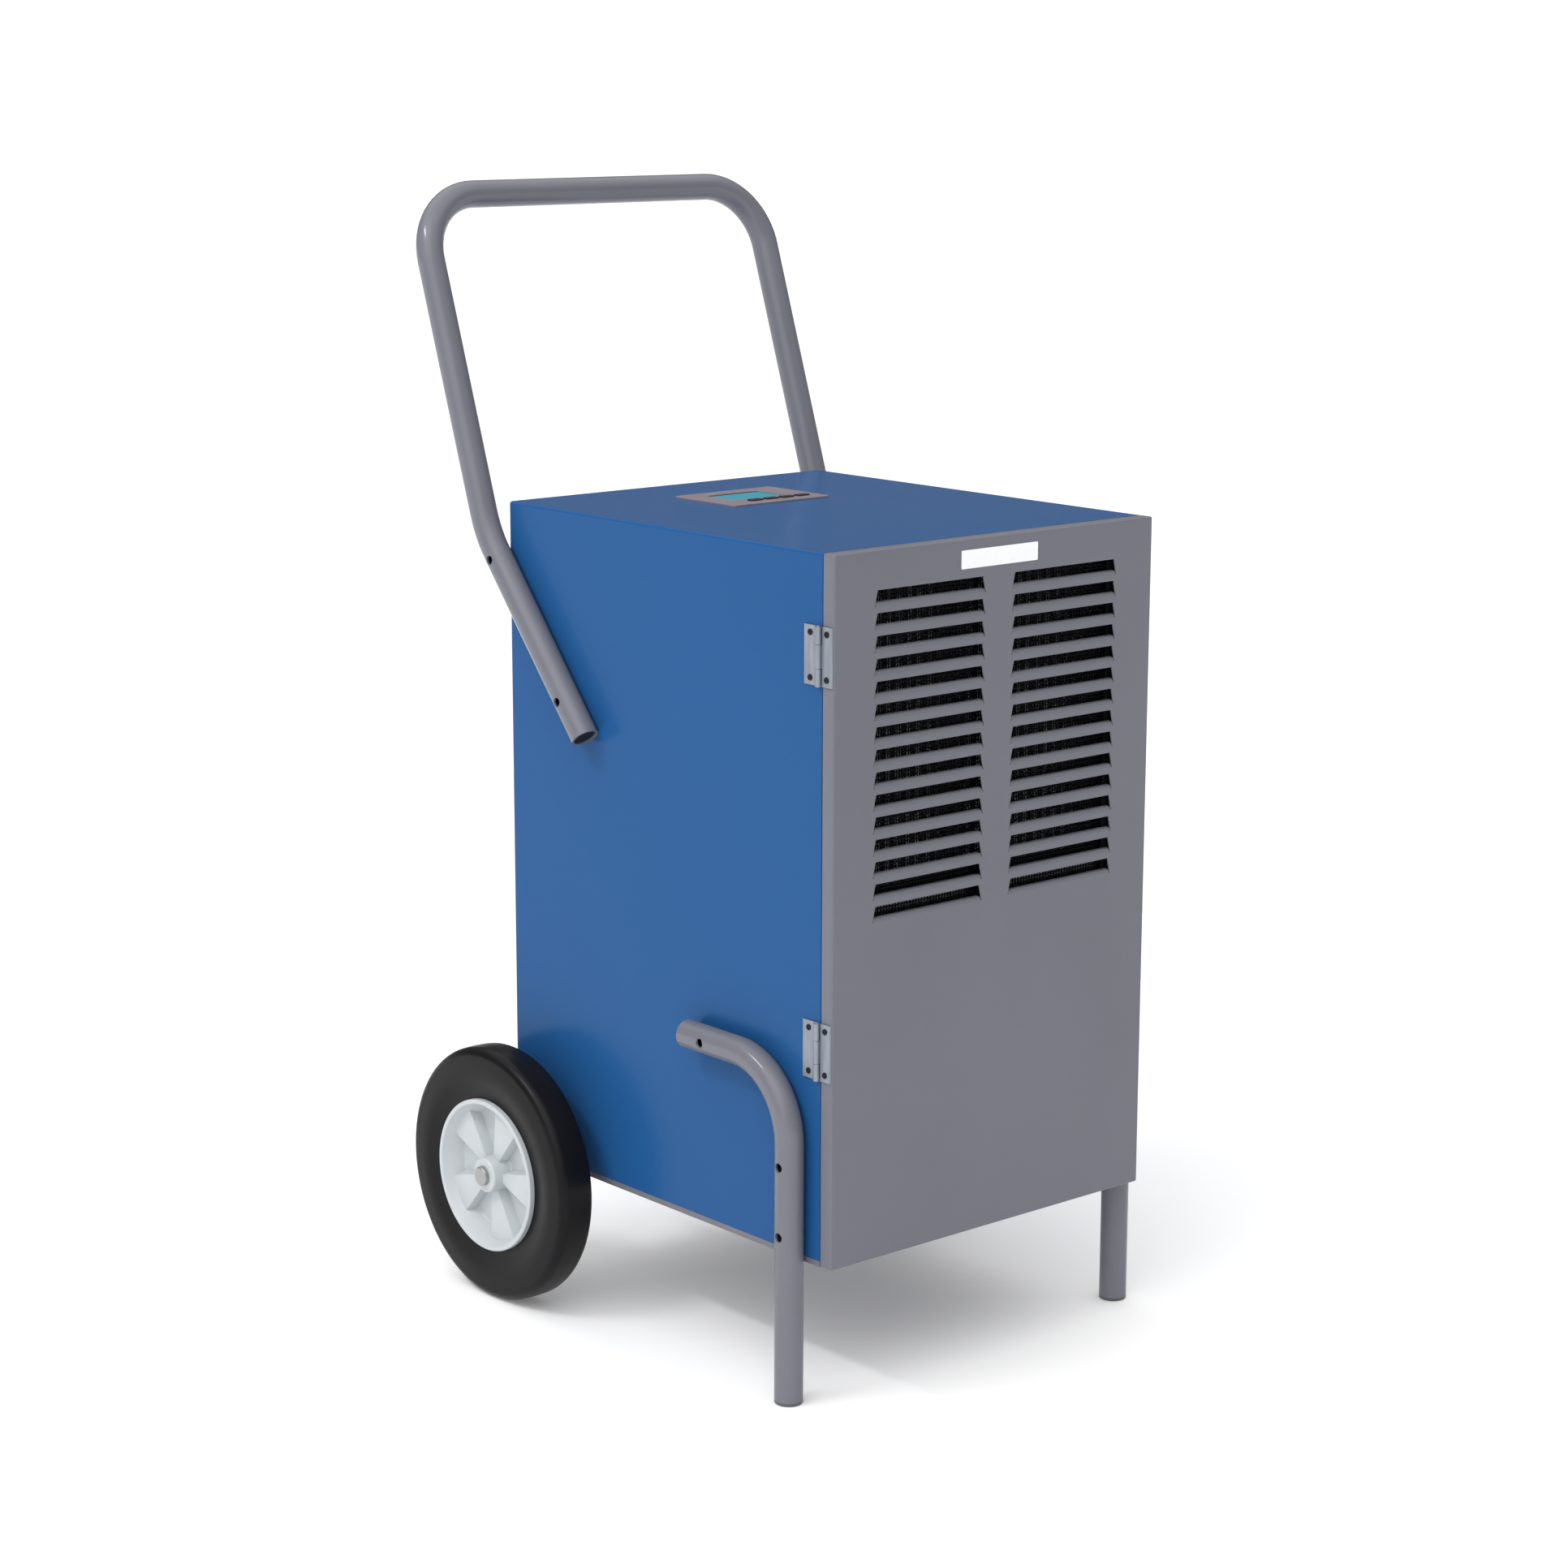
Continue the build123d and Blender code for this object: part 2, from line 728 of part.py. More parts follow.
def turned(points, fillets, side):
    """A wheel part turned about the axle; points are (distance out, radius)."""
    outline = make_face(Polyline(*points, close=True))
    for index, size in fillets.items():
        spot = Vector(points[index][0], points[index][1])
        corner = outline.vertices().sort_by_distance(spot)[0]
        outline = fillet(corner, size)
    solid = revolve(outline, Axis.X)
    solid = Pos(0, wheel_y, wheel_radius) * solid
    return solid if side > 0 else solid.mirror(Plane.YZ)


def tyre(side):
    x0 = wheel_x
    x1 = wheel_x + tyre_width
    profile = [
        (x0 + 2, rim_radius + slip), (x0, rim_radius + 8), (x0, wheel_radius),
        (x1, wheel_radius), (x1, rim_radius + 8), (x1 - 2, rim_radius + slip),
    ]
    return turned(profile, {2: tyre_shoulder, 3: tyre_shoulder, 1: 4, 4: 4}, side)


def wheel_hub(side):
    bore = axle_radius + bush_wall + running_clearance + fixed_clearance
    inner = rim_radius - rim_wall
    boss_in = wheel_x - boss_inside
    boss_out = cap_x - cap_lap - cap_gap
    web = half + web_standoff
    deep = web + web_thickness
    foot = inner - dish_slope
    profile = [
        (boss_in, bore), (boss_out, bore), (boss_out, hub_boss_radius),
        (deep, hub_boss_radius + 2), (deep, foot), (rim_outside, inner),
        (rim_outside, rim_radius), (wheel_x + 2, rim_radius), (wheel_x + 2, inner),
        (web, foot), (web, hub_boss_radius), (boss_in, hub_boss_radius),
    ]
    hub = turned(profile, {2: 2.5, 5: 1.5, 6: 1.5}, 1)
    low = half + web_standoff + web_thickness / 2
    centre = Pos(low, wheel_y, wheel_radius)
    for index in range(spoke_count):
        spoke = wheel_spoke(low, deep + spoke_height, foot + 1)
        hub += centre * Rot(spoke_angle + index * 360 / spoke_count, 0, 0) * spoke
    return hub if side > 0 else hub.mirror(Plane.YZ)


def wheel_spoke(low, high, reach):
    """A wedge that widens towards the rim, standing proud of the web and falling to the rim."""
    outline = make_face(Polyline(
        (hub_boss_radius - 2, -spoke_half_inner), (reach, -spoke_half_outer),
        (reach, spoke_half_outer), (hub_boss_radius - 2, spoke_half_inner), close=True,
    ))
    wedge = extrude(outline, high - low)
    edges = wedge.faces().sort_by(Axis.Z)[-1].edges()
    wedge = chamfer(edges.sort_by(Axis.X)[-1], spoke_height - 1, 4)
    return Rot(0, 90, 0) * Rot(0, 0, 90) * wedge


def wheel_bush(side):
    x0 = side * (wheel_x - boss_inside)
    x1 = side * (cap_x - cap_lap - cap_gap)
    outer = axle_radius + bush_wall + running_clearance
    bush = rod_x(x0, x1, wheel_y, wheel_radius, outer)
    return bush - rod_x(
        2 * x0 - x1, 2 * x1 - x0, wheel_y, wheel_radius, axle_radius + running_clearance
    )


# --- door

def door_panel():
    skin = block(-half, half, front_y, front_y + door_depth, base_z, top_z)
    skin = fillet(skin.edges().filter_by(Axis.Y), door_corner)
    rim = skin.faces().sort_by(Axis.Y)[0].edges()
    skin = fillet(rim, door_corner - 0.2)
    hollow = block(
        sheet - half, half - sheet, front_y + sheet, back_y, base_z + sheet, top_z - sheet
    )
    door = louvred(skin - hollow, front_y, base_z + louvre_top, louvre_rows, 1)
    return door - hinge_screw_holes(door_hinge_screws)


def name_plate():
    plate = Pos(0, top_z - plate_drop) * RectangleRounded(plate_width, plate_height, 1)
    return Pos(0, front_y, 0) * extrude(Plane.XZ * plate, plate_thickness)


def filter_heights():
    high = base_z + louvre_top + filter_edge
    return high - louvre_rows * louvre_pitch - 2 * filter_edge, high


def filter_frame():
    low, high = filter_heights()
    y0 = front_y + filter_front
    y1 = y0 + filter_thickness
    seat = y0 + filter_ledge
    outer = filter_inner + filter_border
    frame = block(-outer, outer, y0, y1, low - filter_lap, high + filter_lap)
    frame -= block(-filter_inner, filter_inner, y0 - cut, y1 + cut, low + 2, high - 2)
    bars = block(-filter_bar, filter_bar, seat, y1, low, high)
    for share in (1 / 3, 2 / 3):
        z = low + share * (high - low)
        bars += block(-filter_inner - 1, filter_inner + 1, seat, y1, z - 2, z + 2)
    return frame + bars


def filter_mesh():
    low, high = filter_heights()
    y = front_y + filter_front + 0.7
    return block(
        slip - filter_inner, filter_inner - slip, y, y + mesh_thickness,
        low + 2 + slip, high - 2 - slip,
    )


def filter_clips():
    low, high = filter_heights()
    x = filter_inner + filter_border
    back = front_y + filter_front + filter_thickness
    clips = []
    for side in (-1, 1):
        foot = sorted((side * (x + slip), side * (x + clip_reach)))
        hook = sorted((side * (x - 4), side * (x + clip_reach)))
        for middle in (low + clip_inset, high - clip_inset):
            z0 = middle - clip_half_height
            z1 = middle + clip_half_height
            clip = block(*foot, front_y + sheet, back + 0.8, z0, z1)
            clips.append(clip + block(*hook, back + 0.1, back + 0.8, z0, z1))
    return group(clips)


def door_seal():
    x = half - seal_inset
    z0 = base_z + seal_end_inset
    z1 = top_z - seal_end_inset
    y0 = front_y + sheet
    y1 = wrap_front - seal_gap
    ring = block(-x, x, y0, y1, z0, z1)
    return ring - block(
        seal_width - x, x - seal_width, y0 - cut, y1 + cut, z0 + seal_width, z1 - seal_width
    )


def door_magnets():
    width, height = magnet_size
    x1 = half - sheet - 2
    magnets = []
    for z in (base_z + magnet_end_inset, top_z - magnet_end_inset):
        magnet = block(
            x1 - width, x1, front_y + sheet + seal_gap, wrap_front,
            z - height / 2, z + height / 2,
        )
        magnets.append(magnet)
    return group(magnets)


# --- hinges

def hinge_screw_heights():
    return [
        base_z + centre + end * hinge_screw_spread
        for centre in hinge_centres for end in (-1, 1)
    ]


def hinge_screw_holes(setback):
    return [
        rod_x(-half - cut, cut - half, front_y + setback, z, hinge_screw_radius + hole_clearance)
        for z in hinge_screw_heights()
    ]


def hinge_leaves(spans, y_edge, y_side, screw_setback, bore):
    """Leaves with knuckles along part of their height; a span is a share of half the hinge."""
    leaves = []
    for centre in hinge_centres:
        mid = base_z + centre
        y_near = hinge_y + y_side * (knuckle_radius + knuckle_gap)
        plate = block(
            -half - hinge_leaf, -half, *sorted((y_near, y_edge)),
            mid - hinge_height / 2, mid + hinge_height / 2,
        )
        for low, high in spans:
            z0 = mid + low * hinge_height / 2 + (knuckle_gap / 2 if low > -1 else 0)
            z1 = mid + high * hinge_height / 2 - (knuckle_gap / 2 if high < 1 else 0)
            plate += rod_z(hinge_x, hinge_y, z0, z1, knuckle_radius)
            plate += block(-half - hinge_leaf, -half - slip, *sorted((hinge_y, y_near)), z0, z1)
        plate -= rod_z(hinge_x, hinge_y, mid - hinge_height, mid + hinge_height, bore)
        leaves.append(plate - hinge_screw_holes(screw_setback))
    return group(leaves)


def cabinet_hinge_leaves():
    return hinge_leaves(
        ((-1, -knuckle_share), (knuckle_share, 1)), front_y + hinge_rear_edge, 1,
        cabinet_hinge_screws, hinge_pin_radius + fixed_clearance,
    )


def door_hinge_leaves():
    return hinge_leaves(
        ((-knuckle_share, knuckle_share),), front_y + hinge_front_edge, -1,
        door_hinge_screws, hinge_pin_radius + running_clearance,
    )


def hinge_pins():
    pins = []
    for centre in hinge_centres:
        mid = base_z + centre
        pin = rod_z(
            hinge_x, hinge_y, mid - hinge_height / 2 - 0.8, mid + hinge_height / 2 + 0.8,
            hinge_pin_radius,
        )
        pins.append(chamfer(pin.edges().filter_by(GeomType.CIRCLE), 0.4))
    return group(pins)


def hinge_screws(line):
    screws = []
    outside = -half - hinge_leaf
    for z in hinge_screw_heights():
        head = rod_x(outside - 0.9, outside, line, z, hinge_head_radius)
        head = fillet(head.faces().sort_by(Axis.X)[0].edges(), 0.6)
        head -= Pos(outside - 0.9, line, z) * Box(1, 3, 0.7)
        screws.append(head + rod_x(outside, -half + 5, line, z, hinge_screw_radius))
    return group(screws)


# --- control panel

def panel_window():
    return rounded_block(
        0, panel_y, top_z - 10, top_z + 10, panel_width - 2 * panel_flange,
        panel_length - 2 * panel_flange, 3,
    )


def button_xs():
    first = button_row[0] - (button_count - 1) * button_pitch / 2
    return [first + k * button_pitch for k in range(button_count)]


def display_centre():
    return display_shift[0], panel_y + display_shift[1]


def control_bezel():
    rim = rounded_block(0, panel_y, top_z, top_z + panel_rim, panel_width, panel_length, 3)
    rim = fillet(rim.faces().sort_by(Axis.Z)[-1].edges(), panel_rim / 2)
    well_width = panel_width - 2 * panel_flange - 2 * slip
    well_length = panel_length - 2 * panel_flange - 2 * slip
    low = top_z - panel_body
    well = rounded_block(0, panel_y, low, top_z, well_width, well_length, 2.8)
    well -= rounded_block(
        0, panel_y, low - cut, under_bezel,
        well_width - 2 * panel_wall, well_length - 2 * panel_wall, 1.5,
    )
    bezel = rim + well
    x, y = display_centre()
    bezel -= rounded_block(x, y, top_z - cut, top_z + cut, *display_size, 1)
    hole = [size + 2 * button_clearance for size in button_size]
    for bx in button_xs():
        bezel -= rounded_block(bx, panel_y + button_row[1], top_z - cut, top_z + cut, *hole, 1.2)
    return bezel


def display_lens():
    x, y = display_centre()
    width, length = display_size
    top = top_z + panel_rim - display_sink
    lens = rounded_block(x, y, top - lens_thickness, top, width - slip, length - slip, 0.9)
    flange_top = under_bezel - running_clearance
    return lens + rounded_block(
        x, y, flange_top - button_flange, flange_top, width + 4, length + 4, 1
    )


def control_board():
    reach_x = panel_width / 2 - board_margin
    reach_y = panel_length / 2 - board_margin + 1
    return block(
        -reach_x, reach_x, panel_y - reach_y, panel_y + reach_y,
        board_top - board_thickness, board_top,
    )


def button(index):
    x = button_xs()[index]
    y = panel_y + button_row[1]
    top = top_z + panel_rim + button_rise
    flange_top = under_bezel - hole_clearance
    flange_low = flange_top - button_flange
    width, length = button_size
    cap = rounded_block(x, y, flange_top, top, width, length, 1)
    cap = fillet(cap.faces().sort_by(Axis.Z)[-1].edges(), 0.6)
    flange = rounded_block(x, y, flange_low, flange_top, width + 2, length + 2, 1)
    stem = rod_z(x, y, board_top + button_travel + 0.5, flange_low, 1.5)
    return cap + flange + stem


# --- coils, fan and refrigerant circuit

def finned_coil(y):
    """Fins and tubes between two end plates, which stand on the end walls of the tray."""
    y0 = y - coil_thickness / 2
    y1 = y + coil_thickness / 2
    outer = coil_half + tray_margin
    ends = [
        block(*sorted((side * outer, side * (outer - coil_end))), y0, y1, coil_foot, coil_high + 3)
        for side in (-1, 1)
    ]
    pitch = 2 * coil_half / (fin_count + 1)
    fins = []
    for k in range(fin_count):
        x = (k + 1) * pitch - coil_half
        fins.append(
            block(x - fin_thickness / 2, x + fin_thickness / 2, y0, y1, coil_low, coil_high)
        )
    reach = coil_half + coil_stub
    tubes = [rod_x(-reach, reach, y, z, coil_tube_radius) for z in coil_tube_heights()]
    return ends[0] + ends[1:] + fins + tubes


def coil_tube_heights():
    rise = (coil_high - coil_low) / coil_tube_rows
    return [coil_low + (k + 0.5) * rise for k in range(coil_tube_rows)]


def drip_tray():
    low = shelf_z + sheet
    outer = coil_half + tray_margin
    inner = outer - tray_wall
    y0 = evaporator_y - coil_thickness / 2 - tray_margin
    y1 = coil_rear + tray_margin
    tray = block(-outer, outer, y0, y1, low, coil_foot)
    tray -= block(
        -inner, inner, y0 + tray_wall, y1 - tray_wall, low + tray_wall, coil_foot + cut
    )
    tray += rod_z(0, evaporator_y, shelf_z - drain_drop, low + 1, spout_radius)
    return tray - rod_z(
        0, evaporator_y, shelf_z - drain_drop - cut, low + cut, spout_radius - tray_wall
    )


def fan_shroud():
    """A plate and ring round the blades, with four arms behind them that hold the motor."""
    face = coil_rear + 2
    throat = fan_radius + fan_tip_gap
    rear = fan_y + motor_gap
    shroud = block(-coil_half, coil_half, face, face + sheet, coil_foot + cut, coil_high + 3)
    shroud += rod_y(0, face, rear, fan_z, throat + sheet)
    shroud -= rod_y(0, face - cut, rear + cut, fan_z, throat)
    seat = motor_radius + slip
    cradle = rod_y(0, rear - arm_thickness, rear + cradle_depth, fan_z, seat + sheet)
    arms = Pos(0, rear - arm_thickness / 2, fan_z) * (
        Box(2 * throat + 1, arm_thickness, arm_width)
        + Box(arm_width, arm_thickness, 2 * throat + 1)
    )
    opening = rod_y(0, rear - arm_thickness - cut, rear + cradle_depth + cut, fan_z, seat)
    return shroud + (arms + cradle - opening)


def fan_rotor():
    hub = rod_y(0, fan_y - 12, fan_y + 14, fan_z, fan_hub)
    hub = fillet(hub.faces().sort_by(Axis.Y)[0].edges(), 5)
    root = fan_hub - blade_root
    blade = Rot(blade_twist, 0, 0) * Box(fan_radius - root, blade_thickness, blade_chord)
    blade = Pos((fan_radius + root) / 2, 0, 0) * blade
    blade &= Rot(90, 0, 0) * Cylinder(fan_radius, 2 * blade_chord)
    blade &= Box(4 * fan_radius, 26, 4 * fan_radius)
    centre = Pos(0, fan_y + 1, fan_z)
    for k in range(fan_blades):
        hub += centre * Rot(0, k * 360 / fan_blades, 0) * blade
    return hub - rod_y(0, fan_y - 5, fan_y + 30, fan_z, shaft_radius + fixed_clearance)


def fan_shaft():
    return rod_y(0, fan_y - 4, fan_y + motor_gap + motor_length / 2, fan_z, shaft_radius)


def fan_motor():
    face = fan_y + motor_gap
    can = rod_y(0, face, face + motor_length, fan_z, motor_radius)
    can = fillet(can.edges().filter_by(GeomType.CIRCLE), 5)
    return can - rod_y(
        0, face - cut, face + motor_length / 2 + 1, fan_z, shaft_radius + running_clearance
    )


def compressor_feet():
    reach = compressor_radius + foot_reach
    return [
        (compressor_x + reach * cos(radians(a)), compressor_y + reach * sin(radians(a)))
        for a in (90, 210, 330)
    ]


def compressor():
    x, y = compressor_x, compressor_y
    rim = compressor_radius + 2
    shell = rod_z(x, y, shell_low, shell_high, compressor_radius)
    shell = fillet(shell.edges().filter_by(GeomType.CIRCLE), compressor_dome)
    seam_top = shell_high - seam_drop + seam_height
    seam_band = rod_z(x, y, shell_high - seam_drop, seam_top, rim)
    plate = rod_z(x, y, foot_seat, foot_seat + foot_plate, rim)
    plate -= rod_z(x, y, foot_seat - cut, foot_seat + 2 * cut, compressor_radius - 30)
    for fx, fy in compressor_feet():
        plate += rod_z(fx, fy, foot_seat, foot_seat + foot_plate, foot_radius)
        angle = degrees(atan2(fy - y, fx - x))
        arm = Box(2 * foot_radius, 2 * foot_radius, foot_plate)
        arm = Rot(0, 0, angle) * Pos(foot_reach + compressor_radius - foot_radius, 0, 0) * arm
        plate += Pos(x, y, foot_seat + foot_plate / 2) * arm
    body = shell + seam_band + plate
    body += rod_z(x, y, foot_seat + 3, shell_low + 2, compressor_radius - 24)
    hollow = rod_z(
        x, y, shell_low + compressor_wall, shell_high - compressor_wall,
        compressor_radius - compressor_wall,
    )
    body -= fillet(hollow.edges().filter_by(GeomType.CIRCLE), compressor_dome - compressor_wall)
    for fx, fy in compressor_feet():
        body -= rod_z(
            fx, fy, foot_seat - cut, foot_seat + 2 * cut,
            stud_radius + grommet_neck + hole_clearance,
        )
    return body


def compressor_grommets():
    grommets = []
    for x, y in compressor_feet():
        body = rod_z(x, y, base_z + base_sheet, foot_seat, stud_radius + grommet_wall)
        body += rod_z(x, y, foot_seat, foot_seat + grommet_rise, stud_radius + grommet_neck)
        body -= rod_z(x, y, base_z, foot_seat + 2 * cut, stud_radius + hole_clearance)
        grommets.append(body)
    return group(grommets)


def compressor_studs():
    seat = foot_seat + grommet_rise + slip
    studs = []
    for x, y in compressor_feet():
        nut = Pos(x, y, seat) * extrude(RegularPolygon(nut_radius, 6), nut_height)
        studs.append(nut + rod_z(x, y, base_z, seat + nut_height + 3, stud_radius))
    return group(studs)


def refrigerant_pipe(side, coil_y):
    """From the lowest tube of a coil, down beside the coils, and back to the compressor's top."""
    x = side * (coil_half + pipe_out)
    z = coil_tube_heights()[0] + pipe_rise
    end_x = compressor_x + side * compressor_radius / 2
    route = [
        (side * (coil_half + pipe_start), coil_y, z), (x, coil_y, z), (x, coil_y, pipe_level),
        (x, compressor_y, pipe_level), (end_x, compressor_y, pipe_level),
        (end_x, compressor_y, shell_high),
    ]
    return bent_tube(route, pipe_bends, pipe_radius, pipe_radius - pipe_wall)


# --- tank bay

def tank_box():
    y0 = wrap_front + tank_front_gap
    y1 = bay_y - tank_gap
    low = base_z + base_sheet + tank_foot_gap
    high = shelf_z - tank_top_gap
    return y0, y1, low, high


def water_tank():
    y0, y1, low, high = tank_box()
    width = 2 * (coil_half - 2)
    length = y1 - y0
    middle = (y0 + y1) / 2
    tank = rounded_block(0, middle, low, high, width, length, tank_corner)
    tank += rounded_block(
        0, middle, high - tank_rim_height, high, width + 2 * tank_rim, length + 2 * tank_rim,
        tank_corner + tank_rim,
    )
    tank -= rounded_block(
        0, middle, low + tank_wall, high + cut, width - 2 * tank_wall, length - 2 * tank_wall,
        tank_corner - tank_wall,
    )
    tank -= block(
        -grip_half, grip_half, y0 - cut, y0 + tank_wall + 1, high - grip_low, high - grip_high
    )
    x, y = float_place()
    return tank + rod_z(x, y, low + 1, high - 6, float_rod)


def float_place():
    y0, y1, low, high = tank_box()
    return coil_half - float_inset, y1 - float_back


def tank_float():
    y0, y1, low, high = tank_box()
    x, y = float_place()
    base = low + tank_wall + 4
    body = rod_z(x, y, base, base + float_height, float_radius)
    body = fillet(body.edges().filter_by(GeomType.CIRCLE), 3)
    return body - rod_z(
        x, y, base - cut, base + float_height + cut, float_rod + running_clearance
    )


def full_tank_switch():
    y0, y1, low, high = tank_box()
    x, y = float_place()
    reach_x, reach_y = switch_half
    return block(
        x - reach_x, x + reach_x, y - reach_y, y + reach_y, high + switch_gap, shelf_z
    )


# --- electrics

def electrics_box():
    """A closed case on four feet beside the compressor."""
    x0 = box_left
    x1 = inside - box_side_gap
    y0 = bay_y + box_end_gap
    y1 = wrap_back - box_end_gap
    z0 = base_z + base_sheet + box_foot
    z1 = z0 + box_height
    box = block(x0, x1, y0, y1, z0, z1)
    box -= block(
        x0 + box_wall, x1 - box_wall, y0 + box_wall, y1 - box_wall,
        z0 + box_wall, z1 - box_wall,
    )
    for x in (x0, x1 - box_foot_width):
        for y in (y0, y1 - box_foot_width):
            box += block(
                x, x + box_foot_width, y, y + box_foot_width, base_z + base_sheet, z0
            )
    return box


parts = {
    "cabinet_wrap": cabinet_wrap(),
    "base_pan": base_pan(),
    "front_frame": front_frame(),
    "back_panel": back_panel(),
    "coil_shelf": coil_shelf(),
    "bay_wall": bay_wall(),
    "leg_left": leg(-1),
    "leg_right": leg(1),
    "leg_feet": leg_feet(),
    "handle_frame": handle_frame(),
    "tube_plugs": tube_plugs(),
    "cabinet_screws": cabinet_screws(),
    "axle": axle(),
    "axle_brackets": axle_brackets(),
    "bracket_screws": bracket_screws(),
    "axle_spacers": axle_spacers(),
    "axle_caps": axle_caps(),
    "tyre_left": tyre(-1),
    "hub_left": wheel_hub(-1),
    "bush_left": wheel_bush(-1),
    "tyre_right": tyre(1),
    "hub_right": wheel_hub(1),
    "bush_right": wheel_bush(1),
    "door_panel": door_panel(),
    "name_plate": name_plate(),
    "filter_frame": filter_frame(),
    "filter_mesh": filter_mesh(),
    "filter_clips": filter_clips(),
    "door_seal": door_seal(),
    "door_magnets": door_magnets(),
    "cabinet_hinge_leaves": cabinet_hinge_leaves(),
    "door_hinge_leaves": door_hinge_leaves(),
    "hinge_pins": hinge_pins(),
    "cabinet_hinge_screws": hinge_screws(front_y + cabinet_hinge_screws),
    "door_hinge_screws": hinge_screws(front_y + door_hinge_screws),
    "control_bezel": control_bezel(),
    "display_lens": display_lens(),
    "control_board": control_board(),
    "evaporator": finned_coil(evaporator_y),
    "condenser": finned_coil(condenser_y),
    "drip_tray": drip_tray(),
    "fan_shroud": fan_shroud(),
    "fan_rotor": fan_rotor(),
    "fan_shaft": fan_shaft(),
    "fan_motor": fan_motor(),
    "compressor": compressor(),
    "compressor_grommets": compressor_grommets(),
    "compressor_studs": compressor_studs(),
    "suction_pipe": refrigerant_pipe(-1, evaporator_y),
    "discharge_pipe": refrigerant_pipe(1, condenser_y),
    "water_tank": water_tank(),
    "tank_float": tank_float(),
    "full_tank_switch": full_tank_switch(),
    "electrics_box": electrics_box(),
    "mains_gland": mains_gland(),
    "drain_spout": drain_spout(),
}
for index in range(button_count):
    parts[f"button_{index + 1}"] = button(index)

os.makedirs("parts", exist_ok=True)
for name, shape in parts.items():
    export_step(shape, f"parts/{name}.step")
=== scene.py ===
import math

import bmesh
import bpy
from mathutils import Matrix, Vector


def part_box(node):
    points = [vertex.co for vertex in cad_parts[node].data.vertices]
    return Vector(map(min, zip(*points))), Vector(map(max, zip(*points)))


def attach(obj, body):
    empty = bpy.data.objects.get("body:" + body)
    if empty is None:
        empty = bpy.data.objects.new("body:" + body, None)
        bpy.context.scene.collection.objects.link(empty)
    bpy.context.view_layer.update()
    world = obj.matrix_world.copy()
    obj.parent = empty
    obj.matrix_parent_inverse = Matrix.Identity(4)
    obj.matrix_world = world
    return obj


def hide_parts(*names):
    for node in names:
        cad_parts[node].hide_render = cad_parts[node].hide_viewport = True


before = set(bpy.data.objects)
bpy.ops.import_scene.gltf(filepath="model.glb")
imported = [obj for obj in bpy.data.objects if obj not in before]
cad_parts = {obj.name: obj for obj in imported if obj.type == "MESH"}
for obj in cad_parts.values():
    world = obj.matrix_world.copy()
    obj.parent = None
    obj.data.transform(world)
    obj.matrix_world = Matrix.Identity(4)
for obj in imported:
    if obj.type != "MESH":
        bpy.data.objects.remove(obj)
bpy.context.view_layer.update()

# Wheeled dehumidifier: louvred sheets, wheels, coils, net and tank are modelled here,
# the other parts keep the frame's own shapes and get their finishes. Lengths in metres.


# colours are given as screen values from 0 to 255

def screen(red, green, blue):
    linear = []
    for value in (red, green, blue):
        share = value / 255
        linear.append(share / 12.92 if share <= 0.04045 else ((share + 0.055) / 1.055) ** 2.4)
    return tuple(linear)


def shade(colour, factor):
    return tuple(min(1.0, part * factor) for part in colour)


# small pieces of a material's node tree

def newFinish(name, **values):
    material = bpy.data.materials.new(name)
    material.use_nodes = True
    tree = material.node_tree
    shader = tree.nodes["Principled BSDF"]
    for socket, value in values.items():
        shader.inputs[socket.replace("_", " ")].default_value = value
    return material, tree, shader


def surfacePoint(tree, stretch=(1, 1, 1)):
    place = tree.nodes.new("ShaderNodeTexCoord")
    mapping = tree.nodes.new("ShaderNodeMapping")
    mapping.inputs["Scale"].default_value = stretch
    tree.links.new(place.outputs["Object"], mapping.inputs["Vector"])
    return mapping.outputs["Vector"]


def noise(tree, scale, detail=2.0, stretch=(1, 1, 1)):
    texture = tree.nodes.new("ShaderNodeTexNoise")
    texture.inputs["Scale"].default_value = scale
    texture.inputs["Detail"].default_value = detail
    tree.links.new(surfacePoint(tree, stretch), texture.inputs["Vector"])
    return texture.outputs["Fac"]


def cells(tree, scale, output="Color"):
    texture = tree.nodes.new("ShaderNodeTexVoronoi")
    texture.inputs["Scale"].default_value = scale
    tree.links.new(surfacePoint(tree), texture.inputs["Vector"])
    return texture.outputs[output]


# a texture's value mostly lies in this stretch
textureSpan = (0.3, 0.7)


def ramp(tree, value, low, high, start=textureSpan[0], end=textureSpan[1]):
    node = tree.nodes.new("ShaderNodeValToRGB")
    stops = node.color_ramp.elements
    stops[0].position = start
    stops[0].color = (*low, 1)
    stops[1].position = end
    stops[1].color = (*high, 1)
    tree.links.new(value, node.inputs["Fac"])
    return node.outputs["Color"]


def remap(tree, value, low, high):
    node = tree.nodes.new("ShaderNodeMapRange")
    node.inputs["From Min"].default_value = textureSpan[0]
    node.inputs["From Max"].default_value = textureSpan[1]
    node.inputs["To Min"].default_value = low
    node.inputs["To Max"].default_value = high
    tree.links.new(value, node.inputs["Value"])
    return node.outputs["Result"]


def relief(tree, shader, height, depth, strength=1.0):
    node = tree.nodes.new("ShaderNodeBump")
    node.inputs["Distance"].default_value = depth
    node.inputs["Strength"].default_value = strength
    tree.links.new(height, node.inputs["Height"])
    tree.links.new(node.outputs["Normal"], shader.inputs["Normal"])


# one recipe serves paints, mouldings and rubber: a slightly clouded colour, uneven gloss, a fine grain

